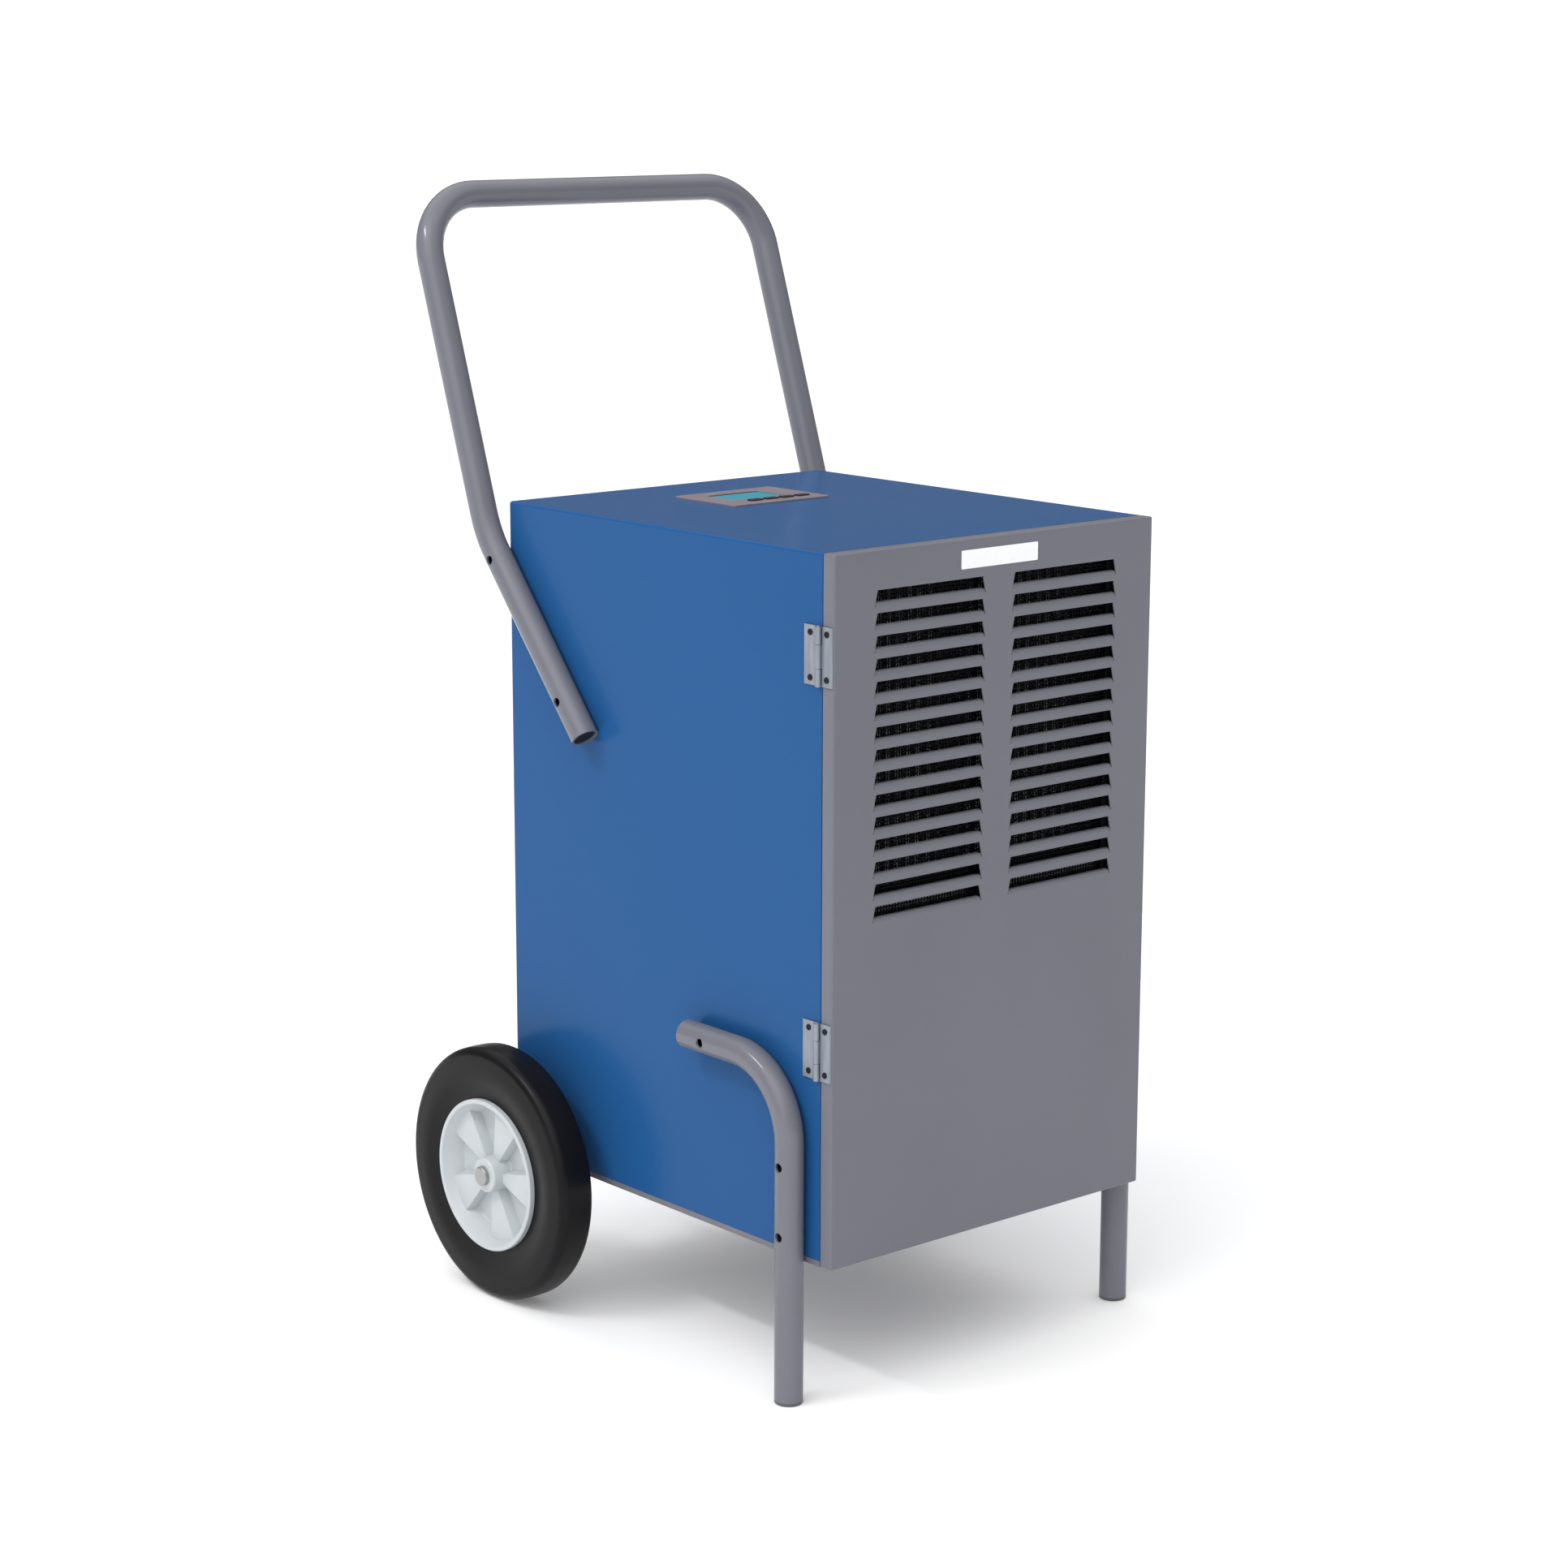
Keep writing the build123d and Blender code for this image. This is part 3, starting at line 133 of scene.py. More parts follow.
def evenCoat(name, look):
    material, tree, shader = newFinish(name)
    shader.inputs["Specular IOR Level"].default_value = look["gloss"]
    shader.inputs["Metallic"].default_value = look.get("metal", 0.0)
    clouds = noise(tree, look["cloud"])
    low = shade(look["colour"], 1 - look["mottle"])
    high = shade(look["colour"], 1 + look["mottle"])
    tree.links.new(ramp(tree, clouds, low, high), shader.inputs["Base Color"])
    rough = remap(tree, clouds, look["rough"] - look["uneven"], look["rough"] + look["uneven"])
    tree.links.new(rough, shader.inputs["Roughness"])
    relief(tree, shader, noise(tree, look["grain"]), look["depth"], look["strength"])
    return material


bluePaintLook = {"colour": screen(33, 83, 137), "mottle": 0.015, "cloud": 5, "gloss": 0.1,
                 "rough": 0.22, "uneven": 0.01, "grain": 420, "depth": 0.0002, "strength": 0.1}
doorPaintLook = {"colour": screen(111, 112, 121), "mottle": 0.03, "cloud": 6, "gloss": 0.2,
                 "rough": 0.36, "uneven": 0.04, "grain": 520, "depth": 0.0002, "strength": 0.12}
tubePaintLook = {"colour": screen(111, 112, 120), "mottle": 0.02, "cloud": 12, "gloss": 0.3,
                 "rough": 0.16, "uneven": 0.03, "grain": 420, "depth": 0.0001, "strength": 0.1}
motorPaintLook = {"colour": screen(28, 29, 32), "mottle": 0.1, "cloud": 14, "gloss": 0.5,
                  "rough": 0.34, "uneven": 0.06, "grain": 300, "depth": 0.0003, "strength": 0.2}
hubLook = {"colour": screen(188, 193, 196), "mottle": 0.015, "cloud": 18, "gloss": 0.45,
           "rough": 0.33, "uneven": 0.04, "grain": 900, "depth": 0.0001, "strength": 0.1}
greyPlasticLook = {"colour": screen(88, 88, 94), "mottle": 0.04, "cloud": 24, "gloss": 0.35,
                   "rough": 0.5, "uneven": 0.05, "grain": 1600, "depth": 0.0001, "strength": 0.3}
blackPlasticLook = {"colour": screen(22, 22, 24), "mottle": 0.08, "cloud": 24, "gloss": 0.35,
                    "rough": 0.48, "uneven": 0.05, "grain": 1600, "depth": 0.0001, "strength": 0.3}
panelPlasticLook = {"colour": screen(128, 118, 124), "mottle": 0.05, "cloud": 40, "gloss": 0.35,
                    "rough": 0.42, "uneven": 0.05, "grain": 2200, "depth": 0.0001, "strength": 0.25}
buttonLook = {"colour": screen(26, 22, 24), "mottle": 0.1, "cloud": 90, "gloss": 0.4,
              "rough": 0.4, "uneven": 0.05, "grain": 2600, "depth": 0.0001, "strength": 0.2}
rubberLook = {"colour": screen(20, 19, 21), "mottle": 0.07, "cloud": 16, "gloss": 0.13,
              "rough": 0.34, "uneven": 0.05, "grain": 800, "depth": 0.0002, "strength": 0.14}
mountRubberLook = {"colour": screen(34, 34, 35), "mottle": 0.1, "cloud": 30, "gloss": 0.3,
                   "rough": 0.62, "uneven": 0.06, "grain": 1000, "depth": 0.0002, "strength": 0.3}
netLook = {"colour": screen(9, 9, 10), "mottle": 0.1, "cloud": 60, "gloss": 0.05,
           "rough": 0.55, "uneven": 0.05, "grain": 2500, "depth": 0.0001, "strength": 0.2}
floatLook = {"colour": screen(226, 226, 222), "mottle": 0.02, "cloud": 60, "gloss": 0.4,
             "rough": 0.4, "uneven": 0.05, "grain": 1500, "depth": 0.0001, "strength": 0.2}
labelLook = {"colour": screen(246, 247, 248), "mottle": 0.008, "cloud": 60, "gloss": 0.3,
             "rough": 0.3, "uneven": 0.04, "grain": 1800, "depth": 0.00005, "strength": 0.15}
boardLook = {"colour": screen(30, 92, 52), "mottle": 0.08, "cloud": 120, "gloss": 0.5,
             "rough": 0.3, "uneven": 0.05, "grain": 2000, "depth": 0.0001, "strength": 0.2}
screwLook = {"colour": screen(40, 41, 44), "mottle": 0.1, "cloud": 200, "gloss": 0.5, "metal": 0.9,
             "rough": 0.38, "uneven": 0.06, "grain": 3000, "depth": 0.0001, "strength": 0.15}
capLook = {"colour": screen(168, 168, 166), "mottle": 0.06, "cloud": 120, "gloss": 0.5, "metal": 0.85,
           "rough": 0.42, "uneven": 0.06, "grain": 2500, "depth": 0.0001, "strength": 0.15}
copperLook = {"colour": screen(196, 122, 88), "mottle": 0.12, "cloud": 40, "gloss": 0.5, "metal": 1.0,
              "rough": 0.28, "uneven": 0.08, "grain": 900, "depth": 0.0001, "strength": 0.15}
finLook = {"colour": screen(206, 208, 210), "mottle": 0.05, "cloud": 20, "gloss": 0.5, "metal": 0.9,
           "rough": 0.36, "uneven": 0.06, "grain": 1500, "depth": 0.0001, "strength": 0.15}


# zinc-coated sheet shows its crystals, brushed zinc its drawing lines

def spangledZinc(name, look):
    material, tree, shader = newFinish(name, Metallic=look["metal"])
    crystals = cells(tree, look["crystals"])
    tree.links.new(ramp(tree, crystals, look["dark"], look["light"]), shader.inputs["Base Color"])
    tree.links.new(remap(tree, crystals, *look["rough"]), shader.inputs["Roughness"])
    relief(tree, shader, noise(tree, look["grain"]), look["depth"], look["strength"])
    return material


def drawnZinc(name, look):
    material, tree, shader = newFinish(name, Metallic=look["metal"])
    lines = noise(tree, look["lines"], look["detail"], look["stretch"])
    tree.links.new(ramp(tree, lines, look["dark"], look["light"]), shader.inputs["Base Color"])
    tree.links.new(remap(tree, lines, *look["rough"]), shader.inputs["Roughness"])
    relief(tree, shader, lines, look["depth"], look["strength"])
    return material


sheetZincLook = {"metal": 0.8, "crystals": 150, "dark": screen(152, 156, 160),
                 "light": screen(172, 176, 180), "rough": (0.34, 0.5), "grain": 700,
                 "depth": 0.0001, "strength": 0.2}
hingeZincLook = {"metal": 0.6, "lines": 240, "detail": 3, "stretch": (1, 1, 0.12),
                 "dark": screen(128, 134, 144), "light": screen(148, 155, 165), "rough": (0.3, 0.42),
                 "depth": 0.00005, "strength": 0.3}


# open foam: the pores are painted darker as painted shade in the hollows

def foam(name, look):
    material, tree, shader = newFinish(name, Roughness=look["rough"])
    shader.inputs["Specular IOR Level"].default_value = look["gloss"]
    pores = cells(tree, look["pores"], "Distance")
    # pore centres take the darker colour: painted shade in the pores
    tree.links.new(ramp(tree, pores, look["deep"], look["face"], *look["span"]), shader.inputs["Base Color"])
    relief(tree, shader, pores, look["depth"], look["strength"])
    return material


sealFoamLook = {"pores": 900, "deep": screen(14, 14, 15), "face": screen(42, 42, 44), "span": (0.1, 0.5),
                "rough": 0.95, "gloss": 0.15, "depth": 0.0006, "strength": 0.6}


# display: teal glass with a dark border along its edges, partly its printed frame and partly painted shade
# from the window wall, widest along the rear and left edges

def displayFinish(name, look):
    low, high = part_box("display_lens")
    material, tree, shader = newFinish(name, Roughness=look["rough"])
    shader.inputs["Specular IOR Level"].default_value = look["gloss"]
    place = tree.nodes.new("ShaderNodeSeparateXYZ")
    tree.links.new(surfacePoint(tree), place.inputs["Vector"])
    edges = (("X", low.x + look["left"], 1), ("X", high.x - look["right"], -1),
             ("Y", low.y + look["front"], 1), ("Y", high.y - look["rear"], -1))
    inside = None
    for axis, edge, side in edges:
        step = tree.nodes.new("ShaderNodeMapRange")
        step.interpolation_type = "SMOOTHSTEP"
        step.inputs["From Min"].default_value = edge - side * look["soft"]
        step.inputs["From Max"].default_value = edge + side * look["soft"]
        tree.links.new(place.outputs[axis], step.inputs["Value"])
        if inside is None:
            inside = step.outputs["Result"]
            continue
        both = tree.nodes.new("ShaderNodeMath")
        both.operation = "MULTIPLY"
        tree.links.new(inside, both.inputs[0])
        tree.links.new(step.outputs["Result"], both.inputs[1])
        inside = both.outputs["Value"]
    # the border colour is partly the display's dark frame and partly painted shade from the bezel window's
    # wall
    tree.links.new(ramp(tree, inside, look["border"], look["glow"], *look["span"]),
                   shader.inputs["Base Color"])
    relief(tree, shader, noise(tree, look["grain"]), look["depth"], look["strength"])
    return material


# border widths: a printed frame all round, widened along the rear and left by painted shade
displayLook = {"left": 0.0022, "right": 0.0006, "front": 0.0008, "rear": 0.004, "soft": 0.0004,
               "border": screen(30, 62, 68), "glow": screen(62, 150, 172), "span": (0.2, 0.8),
               "rough": 0.22, "gloss": 0.04, "grain": 300, "depth": 0.00005, "strength": 0.1}


# milky moulded tank wall

def milkyPlastic(name, look):
    material, tree, shader = newFinish(name, Transmission_Weight=look["clear"], IOR=look["bend"])
    clouds = noise(tree, look["cloud"])
    tree.links.new(ramp(tree, clouds, look["dark"], look["light"]), shader.inputs["Base Color"])
    tree.links.new(remap(tree, clouds, *look["rough"]), shader.inputs["Roughness"])
    relief(tree, shader, noise(tree, look["grain"]), look["depth"], look["strength"])
    return material


tankLook = {"clear": 0.35, "cloud": 10, "dark": screen(196, 206, 212), "light": screen(214, 222, 226),
            "rough": (0.34, 0.46), "bend": 1.35, "grain": 500, "depth": 0.0001, "strength": 0.2}

finishes = {
    "blue_paint": evenCoat("bluePaint", bluePaintLook),
    "grey_paint": evenCoat("doorPaint", doorPaintLook),
    "tube_paint": evenCoat("tubePaint", tubePaintLook),
    "galvanised": spangledZinc("sheetZinc", sheetZincLook),
    "zinc_steel": drawnZinc("hingeZinc", hingeZincLook),
    "dark_steel": evenCoat("screwSteel", screwLook),
    "cap_metal": evenCoat("capSteel", capLook),
    "tyre_rubber": evenCoat("tyreRubber", rubberLook),
    "hub_plastic": evenCoat("hubPlastic", hubLook),
    "black_plastic": evenCoat("blackPlastic", blackPlasticLook),
    "grey_plastic": evenCoat("greyPlastic", greyPlasticLook),
    "panel_plastic": evenCoat("panelPlastic", panelPlasticLook),
    "button_black": evenCoat("buttonPlastic", buttonLook),
    "display_glass": displayFinish("displayGlass", displayLook),
    "board_green": evenCoat("boardGreen", boardLook),
    "label_white": evenCoat("labelFilm", labelLook),
    "filter_net": evenCoat("filterNet", netLook),
    "seal_foam": foam("sealFoam", sealFoamLook),
    "seal_rubber": evenCoat("mountRubber", mountRubberLook),
    "coil_fins": evenCoat("finAluminium", finLook),
    "motor_paint": evenCoat("motorPaint", motorPaintLook),
    "copper": evenCoat("copperPipe", copperLook),
    "tank_plastic": milkyPlastic("tankPlastic", tankLook),
    "float_white": evenCoat("floatPlastic", floatLook),
}
print("finishes:", len(finishes))

# which finish each of the frame's own parts takes
partsIn = {
    "blue_paint": ["cabinet_wrap", "back_panel"],
    "grey_paint": ["base_pan", "door_panel"],
    "tube_paint": ["leg_left", "leg_right", "handle_frame"],
    "galvanised": ["front_frame", "coil_shelf", "bay_wall", "filter_clips", "drip_tray", "fan_shroud",
                   "electrics_box"],
    "grey_plastic": ["leg_feet"],
    "black_plastic": ["filter_frame", "tube_plugs", "bush_left", "bush_right", "door_magnets", "fan_rotor",
                      "full_tank_switch", "mains_gland", "drain_spout"],
    "dark_steel": ["cabinet_screws", "cabinet_hinge_screws", "door_hinge_screws"],
    "zinc_steel": ["axle", "axle_brackets", "bracket_screws", "axle_spacers", "cabinet_hinge_leaves",
                   "door_hinge_leaves", "hinge_pins", "fan_shaft", "compressor_studs"],
    "cap_metal": ["axle_caps"],
    "tyre_rubber": ["tyre_left", "tyre_right"],
    "hub_plastic": ["hub_left", "hub_right"],
    "label_white": ["name_plate"],
    "filter_net": ["filter_mesh"],
    "seal_foam": ["door_seal"],
    "seal_rubber": ["compressor_grommets"],
    "panel_plastic": ["control_bezel"],
    "display_glass": ["display_lens"],
    "board_green": ["control_board"],
    "button_black": ["button_1", "button_2", "button_3", "button_4"],
    "coil_fins": ["evaporator", "condenser"],
    "motor_paint": ["fan_motor", "compressor"],
    "copper": ["suction_pipe", "discharge_pipe"],
    "tank_plastic": ["water_tank"],
    "float_white": ["tank_float"],
}
for slotName, names in partsIn.items():
    for name in names:
        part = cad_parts[name]
        part.data.materials.clear()
        part.data.materials.append(finishes[slotName])
print("frame parts finished:", sum(len(names) for names in partsIn.values()))


# shared modelling steps

def newPiece(name, mesh, body, slotName, stands, crease=35):
    shape = bpy.data.meshes.new(name)
    mesh.to_mesh(shape)
    mesh.free()
    shape.shade_smooth()
    shape.set_sharp_from_angle(angle=math.radians(crease))
    piece = bpy.data.objects.new(name, shape)
    bpy.context.scene.collection.objects.link(piece)
    shape.materials.append(finishes[slotName])
    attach(piece, body)
    if stands:
        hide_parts(*stands)
    return piece


def thicken(piece, thickness):
    wall = piece.modifiers.new("wall", "SOLIDIFY")
    wall.thickness = thickness
    wall.offset = -1
    wall.use_even_offset = True
    return wall


def softenEdges(piece, width, segments=2, angle=50):
    soft = piece.modifiers.new("soft", "BEVEL")
    soft.width = width
    soft.segments = segments
    soft.limit_method = "ANGLE"
    soft.angle_limit = math.radians(angle)
    soft.harden_normals = True
    return soft


# a closed outline with arcs at its corners; a corner is (first, second, radius)
def roundOutline(corners, steps=6):
    outline = []
    for index, (first, second, radius) in enumerate(corners):
        corner = Vector((first, second))
        if radius == 0:
            outline.append(corner)
            continue
        back = (Vector(corners[index - 1][:2]) - corner).normalized()
        ahead = (Vector(corners[(index + 1) % len(corners)][:2]) - corner).normalized()
        halfTurn = back.angle(ahead) / 2
        centre = corner + (back + ahead).normalized() * (radius / math.sin(halfTurn))
        start = corner + back * (radius / math.tan(halfTurn)) - centre
        end = corner + ahead * (radius / math.tan(halfTurn)) - centre
        for step in range(steps + 1):
            share = step / steps
            outline.append(centre + (start * (1 - share) + end * share).normalized() * radius)
    return outline


# turns a closed outline of (distance along X, radius) about the X axis through (y, z)
def turnOutline(mesh, outline, y, z, steps=128):
    rings = []
    for step in range(steps):
        angle = 2 * math.pi * step / steps
        rings.append([
            mesh.verts.new((point[0], y + point[1] * math.cos(angle), z + point[1] * math.sin(angle)))
            for point in outline
        ])
    for step in range(steps):
        here = rings[step]
        there = rings[(step + 1) % steps]
        for index in range(len(outline)):
            after = (index + 1) % len(outline)
            mesh.faces.new((here[index], here[after], there[after], there[index]))


def addBlock(mesh, low, high):
    made = bmesh.ops.create_cube(mesh, size=1)["verts"]
    size = Vector(high) - Vector(low)
    middle = (Vector(high) + Vector(low)) / 2
    bmesh.ops.scale(mesh, vec=size, verts=made)
    bmesh.ops.translate(mesh, vec=middle, verts=made)


# a round bar along a line of points
def addTube(mesh, points, radius, sides=12):
    points = [Vector(point) for point in points]
    rings = []
    for index, point in enumerate(points):
        before = points[max(index - 1, 0)]
        after = points[min(index + 1, len(points) - 1)]
        along = (after - before).normalized()
        across = along.orthogonal().normalized() if not rings else (
            lastAcross - along * lastAcross.dot(along)).normalized()
        lastAcross = across
        other = along.cross(across)
        rings.append([
            mesh.verts.new(point + radius * (across * math.cos(turn) + other * math.sin(turn)))
            for turn in (2 * math.pi * side / sides for side in range(sides))
        ])
    for here, there in zip(rings, rings[1:]):
        for side in range(sides):
            after = (side + 1) % sides
            mesh.faces.new((here[side], here[after], there[after], there[side]))
    mesh.faces.new(reversed(rings[0]))
    mesh.faces.new(rings[-1])


# louvred sheets: slots in two columns, each land's top edge curled inward

louvres = {"offset": 0.075, "topHalf": 0.0571, "footHalf": 0.0593, "notch": 0.0008, "clear": 0.0096,
           "curl": 0.0035, "tail": 0.002, "pitch": 0.0182, "steps": 6}
doorSheet = {"rows": 15, "firstTop": 0.5502, "thickness": 0.0012, "corner": 0.0018, "softEdge": 0.00025}
backSheet = {"rows": 12, "firstTop": 0.5502, "thickness": 0.0012, "corner": 0.003, "softEdge": 0.00025}


def louvredSheet(name, node, sheet, inward, body, slotName, flanged):
    low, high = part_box(node)
    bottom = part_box("base_pan")[0].z
    face = low.y if inward > 0 else high.y
    corner = sheet["corner"]
    steps = louvres["steps"]
    mesh = bmesh.new()

    def spot(x, depth, z):
        return mesh.verts.new((x, face + inward * depth, z))

    def acrossAt(slotHalf):
        spots = [low.x + corner]
        for side in (-1, 1):
            middle = side * louvres["offset"]
            lip = slotHalf - louvres["notch"]
            spots += [middle - slotHalf, middle - lip, middle + lip, middle + slotHalf]
        return spots + [high.x - corner]

    foot = louvres["footHalf"] + louvres["notch"]
    levels = [(low.z + corner, foot, False)]
    for row in reversed(range(sheet["rows"])):
        top = bottom + sheet["firstTop"] - row * louvres["pitch"]
        levels.append((top - louvres["clear"] - louvres["curl"], foot, True))
        levels.append((top, louvres["topHalf"], False))
    levels.append((high.z - corner, louvres["topHalf"], False))
    rows = [[spot(x, 0, level[0]) for x in acrossAt(level[1])] for level in levels]
    for index, (here, there) in enumerate(zip(rows, rows[1:])):
        for column in range(len(here) - 1):
            if levels[index][2] and column % 4 != 0:
                continue  # the slot itself
            mesh.faces.new((here[column], here[column + 1], there[column + 1], there[column]))
        if levels[index][2]:
            for first in (2, 6):  # the lip at each slot's foot
                edge = here[first:first + 2]
                for step in range(1, steps + 2):
                    turn = math.pi / 2 * min(step, steps) / steps
                    depth = louvres["curl"] * (1 - math.cos(turn)) + (louvres["tail"] if step > steps else 0)
                    rise = louvres["curl"] * math.sin(turn)
                    ahead = [spot(v.co.x, depth, levels[index][0] + rise) for v in edge]
                    mesh.faces.new((edge[0], edge[1], ahead[1], ahead[0]))
                    edge = ahead
    # border: rounded corners, and for a tray its turned edge and flanges
    border = []
    sides = [(rows[0], -90), ([row[-1] for row in rows], 0), (rows[-1][::-1], 90),
             ([row[0] for row in reversed(rows)], 180)]
    for verts, heading in sides:
        for vert in verts:
            border.append((vert, heading))
        for step in range(1, steps):
            border.append((verts[-1], heading + 90 * step / steps))
    rings = [[vert for vert, heading in border]]
    if flanged:
        offsets = [(corner * math.sin(turn), corner * (1 - math.cos(turn)))
                   for turn in (math.pi / 2 * step / steps for step in range(1, steps + 1))]
        offsets.append((corner, high.y - low.y if inward > 0 else 0))
    else:
        offsets = [(corner, 0)]
    for out, depth in offsets:
        ring = []
        for vert, heading in border:
            turn = math.radians(heading)
            ring.append(spot(vert.co.x + out * math.cos(turn), depth, vert.co.z + out * math.sin(turn)))
        rings.append(ring)
    for here, there in zip(rings, rings[1:]):
        for index in range(len(here)):
            after = (index + 1) % len(here)
            loop = [here[index], here[after], there[after], there[index]]
            mesh.faces.new(list(dict.fromkeys(loop)))
    bmesh.ops.recalc_face_normals(mesh, faces=mesh.faces)
    mesh.normal_update()
    mesh.faces.ensure_lookup_table()
    if mesh.faces[0].normal.y * inward > 0:
        bmesh.ops.reverse_faces(mesh, faces=mesh.faces)
    piece = newPiece(name, mesh, body, slotName, [node])
    thicken(piece, sheet["thickness"])
    softenEdges(piece, sheet["softEdge"])
    return piece


louvredSheet("doorSkin", "door_panel", doorSheet, 1, "door", "grey_paint", True)
louvredSheet("backSkin", "back_panel", backSheet, -1, "root", "blue_paint", False)
print("louvred sheets: 2")


# wheels: a bulging tyre, and a dished hub with five raised petals round its boss

tyreShape = {"bead": 0.0002, "beadStep": 0.0036, "beadHeight": 0.004, "beadIn": 0.0034, "bulgeAt": 0.018,
             "bulgeRound": 0.05, "lean": 0.0016, "shoulder": 0.0085, "crown": 0.0006, "crownRound": 0.05,
             "seatRound": 0.0004, "beadRound": 0.0012, "arcSteps": 10, "turnSteps": 160, "crease": 40}
hubShape = {"boss": 0.0155, "bossTop": 0.0022, "wall": 0.004, "web": 0.004, "webOut": 0.0365, "dish": 0.009,
            "bore": 0.0072, "lip": 0.0016, "fillet": 0.003, "boreRound": 0.0004, "bossFlare": 0.001,
            "bossFoot": 0.001, "seatOut": 0.0012, "seatIn": 0.0008, "webRound": 0.002, "rimOver": 0.001,
            "rimUnder": 0.002, "crease": 40}
petalShape = {"count": 5, "first": 40.4, "height": 0.0105, "innerHalf": 0.0048, "outerHalf": 0.019,
              "lean": 0.0055, "inset": 0.001, "round": 0.0008, "sunk": 0.002, "beyond": 0.0015}


def tyre(name, node, body):
    low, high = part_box(node)
    hubLow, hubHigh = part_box(node.replace("tyre", "hub"))
    y = (low.y + high.y) / 2
    z = (low.z + high.z) / 2
    radius = (high.z - low.z) / 2
    seat = (hubHigh.z - hubLow.z) / 2 + tyreShape["bead"]
    x0, x1 = low.x, high.x
    middle = (x0 + x1) / 2
    shoulder = tyreShape["shoulder"]
    bead = seat + tyreShape["beadHeight"]
    bulge = bead + tyreShape["bulgeAt"]
    tread = radius - tyreShape["crown"]
    flat = x0 + tyreShape["beadStep"]
    seatRound = tyreShape["seatRound"]
    beadRound = tyreShape["beadRound"]
    bulgeRound = tyreShape["bulgeRound"]
    corners = [
        (flat, seat, seatRound), (x0 + tyreShape["beadIn"], bead, beadRound), (x0, bulge, bulgeRound),
        (x0 + tyreShape["lean"], tread, shoulder), (middle, radius, tyreShape["crownRound"]),
        (x1 - tyreShape["lean"], tread, shoulder), (x1, bulge, bulgeRound),
        (x1 - tyreShape["beadIn"], bead, beadRound), (x1 - tyreShape["beadStep"], seat, seatRound),
    ]
    mesh = bmesh.new()
    turnOutline(mesh, roundOutline(corners, tyreShape["arcSteps"]), y, z, tyreShape["turnSteps"])
    bmesh.ops.recalc_face_normals(mesh, faces=mesh.faces)
    newPiece(name, mesh, body, "tyre_rubber", [node], tyreShape["crease"])


def hub(side, name, node, body):
    low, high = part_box(node)
    tyreLow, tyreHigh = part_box(node.replace("hub", "tyre"))
    y = (low.y + high.y) / 2
    z = (low.z + high.z) / 2
    radius = (high.z - low.z) / 2
    ends = sorted((abs(low.x), abs(high.x)))
    tyreEnds = sorted((abs(tyreLow.x), abs(tyreHigh.x)))
    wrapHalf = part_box("cabinet_wrap")[1].x
    rimOut = tyreEnds[1] + hubShape["rimOver"]
    rimIn = tyreEnds[0] + hubShape["rimUnder"]
    bossIn, bossOut = ends[0], ends[1]
    inner = radius - hubShape["wall"]
    webOut = wrapHalf + hubShape["webOut"] + hubShape["web"] / 2
    webIn = webOut - hubShape["web"]
    foot = inner - hubShape["dish"]
    boss = hubShape["boss"]
    bore = hubShape["bore"]
    fillet = hubShape["fillet"]
    seatIn = hubShape["seatIn"]
    webRound = hubShape["webRound"]
    corners = [
        (bossIn, bore, 0), (bossOut, bore, hubShape["boreRound"]), (bossOut, boss, hubShape["bossTop"]),
        (webOut, boss + hubShape["bossFlare"], fillet), (webOut, foot, fillet),
        (rimOut, inner, hubShape["lip"]), (rimOut, radius, hubShape["seatOut"]), (rimIn, radius, seatIn),
        (rimIn, inner, seatIn), (webIn, foot, webRound), (webIn, boss, webRound),
        (bossIn, boss, hubShape["bossFoot"]),
    ]
    mesh = bmesh.new()
    turnOutline(mesh, [(side * x, r) for x, r in roundOutline(corners)], y, z)
    for index in range(petalShape["count"]):
        angle = math.radians(petalShape["first"] + index * 360 / petalShape["count"])
        addPetal(mesh, side, angle, webOut, foot, y, z)
    bmesh.ops.recalc_face_normals(mesh, faces=mesh.faces)
    newPiece(name, mesh, body, "hub_plastic", [node], hubShape["crease"])


# a wedge that widens towards the rim and ends in the dish
def addPetal(mesh, side, angle, webOut, foot, y, z):
    start = hubShape["boss"] - petalShape["sunk"]
    baseX = webOut - petalShape["sunk"]
    crestX = webOut + petalShape["height"]
    cos, sin = math.cos(angle), math.sin(angle)
    ends = ((start, start, petalShape["innerHalf"]),
            (foot + petalShape["beyond"], foot + petalShape["lean"], petalShape["outerHalf"]))
    base = []
    crest = []
    for baseReach, crestReach, half in ends:
        for across in (-half, half):
            inset = math.copysign(petalShape["inset"], across)
            for store, x, reach, offset in ((base, baseX, baseReach, across),
                                            (crest, crestX, crestReach, across - inset)):
                store.append(mesh.verts.new((side * x, y + reach * cos - offset * sin,
                                             z + reach * sin + offset * cos)))
    crown = mesh.faces.new((crest[0], crest[2], crest[3], crest[1]))
    for loop in ((base[0], base[1], base[3], base[2]), (base[0], crest[0], crest[1], base[1]),
                 (base[2], base[3], crest[3], crest[2]), (base[0], base[2], crest[2], crest[0]),
                 (base[1], crest[1], crest[3], base[3])):
        mesh.faces.new(loop)
    bmesh.ops.bevel(mesh, geom=list(crown.edges), offset=petalShape["round"], segments=3, profile=0.5,
                    affect="EDGES")


for side, word in ((-1, "Left"), (1, "Right")):
    lower = word.lower()
    tyre("tyre" + word, "tyre_" + lower, "wheel_" + lower)
    hub(side, "hub" + word, "hub_" + lower, "wheel_" + lower)
print("wheels: 2")


# filter net: crossed wires held in the filter frame

netShape = {"pitch": 0.0032, "wire": 0.0009, "overlap": 0.0003}


